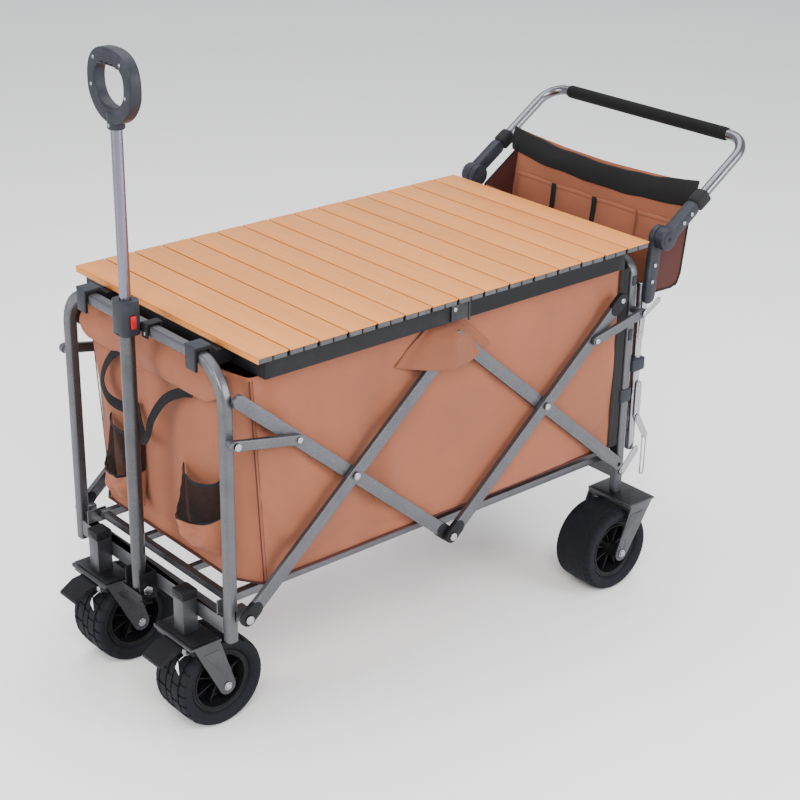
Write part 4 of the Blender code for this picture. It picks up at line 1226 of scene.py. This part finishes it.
class WAGON_OT_table(bpy.types.Operator):
    """Fifteen slats with grey end plugs, the joint of the rails with its rivet, and the clamp shells"""
    bl_idname = "wagon.table"
    bl_label = "Table"

    def execute(self, context):
        sizes = context.scene.wagon_sizes
        slats, plugs, cores = [], [], []
        pitch = (TABLE_HIGH.x - TABLE_LOW.x) / SLATS
        half = TABLE_HIGH.y
        for k in range(SLATS):
            first = TABLE_LOW.x + k * pitch + (sizes.groove / 2 if k else 0)
            last = TABLE_LOW.x + (k + 1) * pitch - (sizes.groove / 2 if k < SLATS - 1 else 0)
            slats.append(block("slat", (first, -half, TABLE_HIGH.z - 0.0030),
                               (last, half, TABLE_HIGH.z), 0.0008))
            cores.append(block("core", (first + 0.0006, 0.0028 - half, TABLE_LOW.z),
                               (last - 0.0006, half - 0.0028, TABLE_HIGH.z - 0.0028), 0.0004))
            lobe = (last - first - 0.005) / 2
            for n in range(2):
                left = first + 0.0012 + n * (lobe + 0.0026)
                for _, side in SIDES:
                    plugs.append(block("lobe", (left, side * (half - 0.0038), TABLE_LOW.z + 0.0004),
                                       (left + lobe, side * (half - 0.0003), TABLE_HIGH.z - 0.0032),
                                       0.0022, 3))
        mount(join("table_slat_faces", slats), "table_top", "slat", ("table_slats",))
        mount(join("table_slat_cores", cores), "table_top", "black")
        mount(join("table_slat_plugs", plugs), "table_top", "plug")
        lip = block("table_front_edge", (TABLE_HIGH.x - 0.0016, 0.001 - half, TABLE_LOW.z + 0.0004),
                    (TABLE_HIGH.x, half - 0.001, TABLE_HIGH.z - 0.0012), 0.0006)
        mount(lip, "table_top", "slat")

        low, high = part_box("table_frame_front")
        for label, side in SIDES:
            y = side * (high.y + 0.0002)
            plate = block("rail_joint", (MIDDLE - 0.016, y, low.z + 0.001),
                          (MIDDLE + 0.022, y + side * 0.0022, TABLE_LOW.z - 0.0008), 0.0009)
            strip = block("strip", (MIDDLE - 0.021, y, low.z - 0.004),
                          (MIDDLE - 0.0165, y + side * 0.0026, TABLE_LOW.z - 0.0008), 0.0008)
            mount(join(f"rail_joint_{label}", [plate, strip]), "table_frame", "dark_steel")
            stud = rivet((MIDDLE + 0.014, y + side * 0.0020, TABLE_LOW.z - 0.008), side, 0.0040, 0.0018)
            mount(join(f"rail_rivets_{label}", [stud]), "table_frame", "bright")
            pads = [block("clamp_shell", (POST_X - 0.0150, side * 0.1452, HOOP_TOP + TUBE_R + 0.0050),
                          (POST_X + 0.0165, side * 0.1748, HOOP_TOP + TUBE_R + 0.0090), 0.0020, 3),
                    block("clamp_lip", (POST_X + 0.0118, side * 0.1475, HOOP_TOP - 0.023),
                          (POST_X + 0.0160, side * 0.1725, HOOP_TOP + TUBE_R + 0.006), 0.0018, 3)]
            mount(join(f"clamp_shell_{label}", pads), "table_frame", "grey")
        return {"FINISHED"}


# ---- pull handle --------------------------------------------------------------------

class WAGON_OT_pull_handle(bpy.types.Operator):
    """Telescoping tube, collar with its red button, and the closed loop grip"""
    bl_idname = "wagon.pull_handle"
    bl_label = "Pull handle"

    def execute(self, context):
        base = Vector((PULL_X, 0, 0))
        outer = LOWER_HIGH.x - PULL_X
        profile = [(0.0001, LOWER_LOW.z), (outer - 0.001, LOWER_LOW.z), (outer, LOWER_LOW.z + 0.001),
                   (outer, LOWER_HIGH.z), (0.0101, LOWER_HIGH.z), (0.0101, 0.300), (0.0001, 0.300)]
        lower = turned("pull_tube_lower_skin", profile, base, UP, 40)
        mount(lower, "pull_handle", "tube_grey", ("pull_tube_lower",))
        inner_low, inner_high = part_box("pull_tube_upper")
        radius = inner_high.x - PULL_X
        rod = turned("pull_tube_upper_skin", [(0.0001, inner_low.z), (radius, inner_low.z),
                                              (radius, inner_high.z), (0.0001, inner_high.z)], base, UP, 40)
        mount(rod, "pull_extension", "plated", ("pull_tube_upper",))
        round_off("pull_collar", "grey", 0.0022, 4)
        z = COLLAR_LOW.z - 0.0005
        flange = turned("collar_ring", [(0.0128, z), (0.0180, z), (0.0190, z + 0.0015), (0.0180, z + 0.003),
                                        (0.0128, z + 0.003), (0.0128, z)], base, UP, 32)
        mount(join("collar_ring", [flange]), "pull_handle", "grey")
        low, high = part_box("release_button")
        mount(block("release_button_cap", low, high, 0.0016, 3), "release_button", "red",
              ("release_button",))
        bolt_low, bolt_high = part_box("handle_bolt")
        bolt_z = PIVOT["pull_handle_tilt"].z
        bolt = [peg("bolt_head", (PULL_X, side * 0.0233, bolt_z), (0, side, 0), 0.0094, 0.0046, 0.0008, 6)
                for _, side in SIDES]
        bolt.append(peg("bolt_shank", (PULL_X, bolt_low.y + 0.004, bolt_z), LEFT, 0.0039,
                        bolt_high.y - bolt_low.y - 0.008))
        mount(join("handle_bolt_bright", bolt), "front_frame", "bright", ("handle_bolt",))
        self.grip()
        return {"FINISHED"}

    def grip(self):
        foot, top = GRIP_LOW.z, GRIP_HIGH.z
        middle, tall = (foot + top) / 2 + 0.004, (top - foot) / 2 - 0.004
        wide = GRIP_HIGH.y
        steps = 72
        loops = []
        for name, half_wide, half_tall, rise in (("outer", wide, tall, 0.0), ("inner", 0.041, 0.0345, 0.002)):
            ring = start("circle", name, vertices=steps, radius=1, rotation=(math.pi / 2, 0, math.pi / 2))
            for vertex in ring.data.vertices:
                angle = math.atan2(vertex.co.z, vertex.co.y)
                c, s = math.cos(angle), math.sin(angle)
                flat = 0.78 if s > 0 else 0.95
                y = half_wide * math.copysign(abs(c) ** flat, c)
                z = middle + rise + half_tall * math.copysign(abs(s) ** flat, s)
                if name == "inner" and s > 0.55:
                    z -= 0.0022 * (1 - math.cos(y * 430)) * min(1, (s - 0.55) * 6)
                if name == "outer" and s < -0.25:
                    y *= 1 - 0.10 * (-s - 0.25)
                vertex.co = (PULL_X - 0.0115, y, z)
            loops.append(ring)
        grip = join("pull_grip_loop", loops)
        edit(grip, "EDGE")
        bpy.ops.mesh.bridge_edge_loops()
        bpy.ops.mesh.select_all(action="SELECT")
        bpy.ops.mesh.extrude_region_move(TRANSFORM_OT_translate={"value": (0.023, 0, 0)})
        close(grip)
        rounded(grip, 0.0068, 5, 50)
        smooth(grip, 60)
        base = Vector((PULL_X, 0, 0))
        neck = turned("neck", [(0.0098, foot), (0.0132, foot), (0.0142, foot + 0.002), (0.0138, foot + 0.016),
                               (0.0146, foot + 0.026), (0.0098, foot + 0.030), (0.0098, foot)], base, UP, 40)
        ribs = [block("grip_rib", (PULL_X + 0.0088, -0.030, top - 0.0130 - 0.0042 * k),
                      (PULL_X + 0.0121, 0.030, top - 0.0112 - 0.0042 * k), 0.0008) for k in range(4)]
        mount(join(grip.name, [grip, neck, *ribs]), "pull_extension", "grey", ("pull_grip",))
        face = PULL_X + 0.0102
        screws = [peg("screw", (face, y, z), FORWARD, 0.0030, 0.0022, 0.0008)
                  for y, z in ((-0.0385, top - 0.020), (0.0350, top - 0.020), (-0.0480, top - 0.063),
                               (0.0460, top - 0.068), (0.0, foot + 0.0245))]
        screws.append(peg("screw", (PULL_X + 0.0125, 0, foot + 0.007), FORWARD, 0.0030, 0.0022, 0.0008))
        mount(join("pull_grip_screws", screws), "pull_extension", "bright")


# ---- push handle and bag ------------------------------------------------------------

def arm(share, offset=0.0):
    """A point along the push handle's arm, from its joint to its bar, raised square to the arm."""
    run = Vector((BAR_X - PUSH.x, 0, BAR_Z - PUSH.z))
    square = Vector((run.z, 0, -run.x)).normalized()
    return Vector((PUSH.x, 0, PUSH.z)) + run * share + square * offset


class WAGON_OT_push_handle(bpy.types.Operator):
    """Polished bow with its foam sleeve, and the disc joints on both posts"""
    bl_idname = "wagon.push_handle"
    bl_label = "Push handle"

    def execute(self, context):
        run = Vector((BAR_X - PUSH.x, 0, BAR_Z - PUSH.z))
        first = Vector((PUSH.x, PUSH_Y, PUSH.z))
        bow = tube("push_bow", first, run.normalized(), TUBE_R, bow_path(first, run, PUSH_Y, 0.045), sides=24)
        discs = []
        for _, side in SIDES:
            low, high = sorted((side * 0.2504, side * 0.2716))
            discs.append(peg("disc", (PUSH.x, low, PUSH.z), LEFT, 0.0218, high - low, 0.003, 40))
            discs.append(flat_bar("arm_bracket", arm(0.02), arm(0.30), 0.0140, low + 0.0005, high - 0.0005,
                                  0.004))
            discs.append(peg("disc_face", (PUSH.x, side * 0.2715, PUSH.z), (0, side, 0), 0.0150, 0.0012,
                             0.0006, 32))
        mount(bow, "push_handle", "bow", ("push_handle_bow",))
        mount(join("push_discs", discs), "push_handle", "grey")
        studs, sockets = [], []
        for _, side in SIDES:
            studs += [rivet(arm(share, -0.001) + LEFT * side * 0.2712, side, *STUD)
                      for share in (0.17, 0.26)]
            sockets.append(peg("socket", (PUSH.x, side * 0.2722, PUSH.z), (0, side, 0), 0.0045, 0.0010,
                               0.0004))
        mount(join("push_arm_rivets", studs), "push_handle", "bright")
        mount(join("push_sockets", sockets), "push_handle", "black")
        low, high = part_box("foam_grip")
        half = high.y + 0.004
        rim = (high.z - low.z) / 2
        sleeve = [(TUBE_R + 0.0004, -half), (rim - 0.003, -half), (rim - 0.0006, 0.0025 - half),
                  (rim, 0.007 - half)]
        outline = sleeve + [(radius, -y) for radius, y in reversed(sleeve)] + sleeve[:1]
        foam = turned("foam_sleeve", outline, (BAR_X, 0, BAR_Z), LEFT, 40)
        mount(foam, "push_handle", "foam", ("foam_grip",))

        for label, side in SIDES:
            low, high = sorted((side * 0.2380, side * 0.2498))
            joint = [peg("lower_disc", (PUSH.x, low, PUSH.z), LEFT, 0.0216, high - low, 0.002, 40),
                     flat_bar("post_bracket", (PUSH_POST_X - 0.002, 0, 0.582),
                              (PUSH.x + 0.006, 0, PUSH.z), 0.0145, low + 0.0002, high - 0.0002, 0.003)]
            mount(join(f"post_bracket_{label}", joint), "rear_frame", "grey",
                  (f"push_bracket_{label}",))
            studs = [rivet((PUSH_POST_X - back, side * 0.2498, z), side, *STUD)
                     for back, z in ((0.0081, 0.643), (0.0036, 0.612))]
            mount(join(f"post_rivets_{label}", studs), "rear_frame", "bright")
        return {"FINISHED"}


class WAGON_OT_bag(bpy.types.Operator):
    """The open bag between the push handle's arms, with its sagging band and four pockets"""
    bl_idname = "wagon.bag"
    bl_label = "Bag"

    def execute(self, context):
        half = BAG_HIGH.y - 0.002
        back_foot = Vector((MIDDLE - 0.592, 0, BAG_LOW.z + 0.002))
        back_top = Vector((MIDDLE - 0.616, 0, BAG_HIGH.z - 0.002))
        front_foot = Vector((MIDDLE - 0.526, 0, BAG_LOW.z + 0.004))
        front_top = Vector((MIDDLE - 0.521, 0, 0.680))
        shoulder = Vector((MIDDLE - 0.603, 0, 0.735))

        def sag(u):
            return 1 - (2 * u - 1) ** 2

        def back(u, v):
            point = back_foot.lerp(back_top, v)
            point.y = (0.5 - u) * 2 * half
            point.x -= 0.007 * math.sin(math.pi * v) * sag(u) + ripple((u * 5, v * 3, 1), 1.2, 0.003)
            point.z -= 0.012 * sag(u) * v
            return point

        def front(u, v):
            point = front_foot.lerp(front_top, v)
            point.y = (u - 0.5) * 2 * half
            point.x += 0.003 * math.sin(math.pi * v) * sag(u)
            point.z -= 0.008 * sag(u) * v
            return point

        def floor(u, v):
            point = front_foot.lerp(back_foot, v)
            point.y = (u - 0.5) * 2 * half
            point.z += 0.0006 + ripple((u * 6, v * 2, 7), 1.4, 0.003)
            return point

        def band(u, v):
            point = back(u, 0.77 + 0.25 * v)
            point.y *= 1.062
            point.x += 0.0022 + 0.004 * math.sin(math.pi * v)
            point.z -= 0.010 * sag(u) - ripple((u * 7, v * 2, 5), 1.3, 0.003)
            return point

        tall = (back_top - back_foot).length
        for name, place, depth, finish in (("bag_back", back, tall, "canvas"),
                                           ("bag_front", front, 0.100, "canvas"),
                                           ("bag_floor", floor, 0.066, "lining")):
            flat = (2 * half, depth)
            panel = cloth(name, 40, 16, place, flat, 0.0015)
            mount(panel, "push_handle", finish)
        top_band = cloth("bag_band", 48, 10, band, (2.12 * half, 0.052), 0.0026)
        mount(top_band, "push_handle", "band")

        back_turn, front_turn = back_foot.lerp(back_top, 0.12), back_foot.lerp(front_foot, 0.32)
        outline = [front_foot, front_top, shoulder, back_top, back_turn,
                   back_foot.lerp((back_turn + front_turn) / 2, 0.5), front_turn]
        for label, side in SIDES:
            edge = [Vector((p.x, side * half, p.z)) for p in outline]
            panel = prism(f"bag_side_{label}", edge, (0, -side * 0.0016, 0), 0.0)
            edit(panel)
            bpy.ops.mesh.inset(thickness=0.006, depth=0.0)
            bpy.ops.object.mode_set(mode="OBJECT")
            mount(panel, "push_handle", "lining")
            runs = []
            for here, there in zip(edge, edge[1:] + edge[:1]):
                runs.append(peg("piping", here, there - here, 0.0022, (there - here).length, 0.0, 10))
            mount(join(f"bag_piping_{label}", runs), "push_handle", "band")
            tab = [arm(0.335, 0.0135), arm(0.46, 0.0125), arm(0.47, -0.0155), arm(0.335, -0.0150)]
            wrap = prism(f"bag_tab_{label}", [p + LEFT * side * (PUSH_Y - 0.0130) for p in tab],
                         (0, side * 0.0260, 0), 0.006, 4)
            mount(wrap, "push_handle", "band")

        widths = (0.24, 0.25, 0.26, 0.25)
        gap = 0.006
        reach = 2 * half - 0.030
        left = -reach / 2
        for number, share in enumerate(widths):
            wide = reach * share - gap
            first = left

            def pocket(u, v):
                y = first + u * wide
                point = back(0.5 - y / (2 * half), 0.06 + 0.53 * v + 0.012 * math.sin(math.pi * u) * v)
                belly = math.sin(math.pi * u) ** 0.6 * math.sin(math.pi * (0.15 + 0.8 * v))
                point.x += 0.0045 + 0.0075 * belly
                return point

            panel = cloth(f"bag_pocket_{number + 1}", 14, 12, pocket, (wide, 0.105), 0.0014)
            mount(panel, "push_handle", "canvas")
            hem = cloth(f"bag_pocket_hem_{number + 1}", 14, 2,
                        lambda u, v: pocket(u, 0.93 + 0.075 * v) + Vector((0.0012, 0, 0)),
                        (wide, 0.009), 0.0012)
            mount(hem, "push_handle", "canvas")
            left += reach * share
            # Black strips in the gaps after the first two pockets: painted shadow between the pockets.
            if number < 2:
                def shadow(u, v):
                    point = back(0.5 - (left - gap / 2 + (u - 0.5) * 0.013) / (2 * half), 0.10 + 0.50 * v)
                    point.x += 0.0075
                    return point

                strip = cloth(f"bag_pocket_shadow_{number + 1}", 4, 10, shadow, (0.013, 0.100), 0.0012)
                mount(strip, "push_handle", "band")
        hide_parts("storage_bag")
        return {"FINISHED"}


# ---- rear fittings ------------------------------------------------------------------

class WAGON_OT_rear_fittings(bpy.types.Operator):
    """Clips, strips, toggle links, wire bails and the slotted straps on the rear posts"""
    bl_idname = "wagon.rear_fittings"
    bl_label = "Rear fittings"

    def execute(self, context):
        post = PUSH_POST_X
        link_z = PIVOT["front_link_left_turn"].z
        for label, side in SIDES:
            def spot(x, y, z):
                return (x, side * y, z)

            # A black strip on the rear post's front face: painted shade standing in for the dark look of that
            # face.
            shade_strip = block(f"post_painted_shade_{label}", spot(REAR_X + TUBE_R + 0.0003, 0.2190, 0.258),
                          spot(REAR_X + TUBE_R + 0.0035, 0.2372, 0.640), 0.001)
            mount(shade_strip, "rear_frame", "black")
            clips = [block("clip", spot(*low), spot(*high), soft, steps) for low, high, soft, steps in (
                ((post - 0.0125, 0.2170, 0.430), (REAR_X - TUBE_R - 0.0005, 0.2412, 0.456), 0.003, 3),
                ((REAR_X - 0.0130, 0.2165, 0.372), (REAR_X + 0.0165, 0.2400, 0.400), 0.003, 3),
                ((REAR_X - 0.0045, 0.2382, 0.610), (REAR_X + 0.0060, 0.2396, 0.628), 0.0005, 2),
                ((REAR_X - 0.0045, 0.2382, 0.500), (REAR_X + 0.0060, 0.2396, 0.522), 0.0005, 2))]
            mount(join(f"post_clips_{label}", clips), "rear_frame", "grey")

            strips = [flat_bar("slotted_strap", (post + 0.004, 0, 0.500), (post - 0.001, 0, 0.572), 0.0070,
                               *sorted((side * 0.2372, side * 0.2392)), 0.0006),
                      flat_bar("short_strap", (REAR_X, 0, link_z + 0.001),
                               (post - 0.002, 0, link_z + 0.020), 0.0062,
                               *sorted((side * 0.2686, side * 0.2706)), 0.0006),
                      flat_bar("hinge_plate", (REAR_X - 0.002, 0, 0.226), (post - 0.004, 0, 0.262), 0.0085,
                               *sorted((side * 0.2402, side * 0.2424)), 0.0007)]
            for k in range(3):
                strips.append(rivet((post + 0.003 - 0.0015 * k, side * 0.2391, 0.508 + 0.024 * k), side,
                                    0.0026, 0.0009))
            strips.append(rivet((REAR_X - 0.002, side * 0.2423, 0.226), side, *STUD))
            mount(join(f"post_strips_{label}", strips), "rear_frame", "bright")

            turn = PIVOT[f"latch_{label}_turn"]
            knee = Vector((turn.x - 0.026, 0, turn.z - 0.112))
            low, high = sorted((side * 0.2424, side * 0.2446))
            toggle = [flat_bar("toggle", (turn.x, 0, turn.z - 0.068), knee, 0.0070, low, high, 0.0007),
                      rivet((turn.x, side * 0.2420, turn.z), side, 0.0052, 0.0020),
                      rivet((turn.x, side * 0.2445, turn.z - 0.068), side, 0.0050, 0.0018)]
            wire = Vector((knee.x - 0.004, side * 0.2432, knee.z))
            drop, narrow, bend = 0.084, 0.0105, 0.005
            moves = [("go", -UP * (drop - bend)),
                     ("turn", wire + FORWARD * bend - UP * (drop - bend), -LEFT, 90),
                     ("go", FORWARD * (narrow - 2 * bend + 0.0001)),
                     ("turn", wire + FORWARD * (narrow - bend) - UP * (drop - bend), -LEFT, 90),
                     ("go", UP * (drop - bend))]
            toggle.append(tube("bail", wire, -UP, 0.0014, moves, sides=10))
            toggle.append(peg("bail_pin", wire - FORWARD * 0.002 - UP * 0.001, FORWARD, 0.0018,
                              narrow + 0.004, 0, 10))
            mount(join(f"latch_toggle_{label}", toggle), f"latch_{label}", "bright")
        return {"FINISHED"}


class WAGON_OT_front_fittings(bpy.types.Operator):
    """The catch rivet and the foot guard of the pull handle"""
    bl_idname = "wagon.front_fittings"
    bl_label = "Front fittings"

    def execute(self, context):
        low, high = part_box("handle_catch")
        stud = peg("catch_rivet", (high.x - 0.0005, (low.y + high.y) / 2, (low.z + high.z) / 2 - 0.004),
                   FORWARD, 0.0036, 0.0018, 0.0008)
        mount(stud, "front_frame", "bright")
        pull_z = PIVOT["pull_handle_tilt"].z
        guard = turned("guard", [(0.0150, -0.0300), (0.0180, -0.0300), (0.0180, 0.0300), (0.0150, 0.0300),
                                 (0.0150, -0.0300)], (PULL_X - 0.002, 0, pull_z - 0.006), LEFT, 32)
        pick(guard, lambda point, normal: point.z > pull_z - 0.004 or point.x < PULL_X - 0.006)
        bpy.ops.mesh.delete(type="FACE")
        bpy.ops.object.mode_set(mode="OBJECT")
        modify(guard, "SOLIDIFY", thickness=0.0008, offset=0)
        smooth(guard)
        mount(guard, "front_frame", "black")
        return {"FINISHED"}


# ---- panel and registration ---------------------------------------------------------

STEPS = (WAGON_OT_stage, WAGON_OT_steelwork, WAGON_OT_hoops, WAGON_OT_scissor_fittings, WAGON_OT_wheels,
         WAGON_OT_brakes, WAGON_OT_tub, WAGON_OT_front_pockets, WAGON_OT_flaps, WAGON_OT_table,
         WAGON_OT_pull_handle, WAGON_OT_push_handle, WAGON_OT_bag, WAGON_OT_rear_fittings,
         WAGON_OT_front_fittings)


class WAGON_PT_build(bpy.types.Panel):
    """Lists the wagon's building steps"""
    bl_label = "Camp Wagon"
    bl_idname = "WAGON_PT_build"
    bl_space_type = "VIEW_3D"
    bl_region_type = "UI"
    bl_category = "Wagon"

    def draw(self, context):
        for holder in (context.scene.wagon_sizes, context.scene.wagon_colours):
            for key in holder.__annotations__:
                self.layout.prop(holder, key)
        for step in STEPS:
            self.layout.operator(step.bl_idname)


CLASSES = (WagonSizes, WagonColours, *STEPS, WAGON_PT_build)


def register():
    for item in CLASSES:
        bpy.utils.register_class(item)
    bpy.types.Scene.wagon_sizes = PointerProperty(type=WagonSizes)
    bpy.types.Scene.wagon_colours = PointerProperty(type=WagonColours)


def unregister():
    del bpy.types.Scene.wagon_colours
    del bpy.types.Scene.wagon_sizes
    for item in reversed(CLASSES):
        bpy.utils.unregister_class(item)


def main():
    register()
    for step in STEPS:
        group, action = step.bl_idname.split(".")
        getattr(getattr(bpy.ops, group), action)()
    only()


if __name__ == "__main__":
    main()
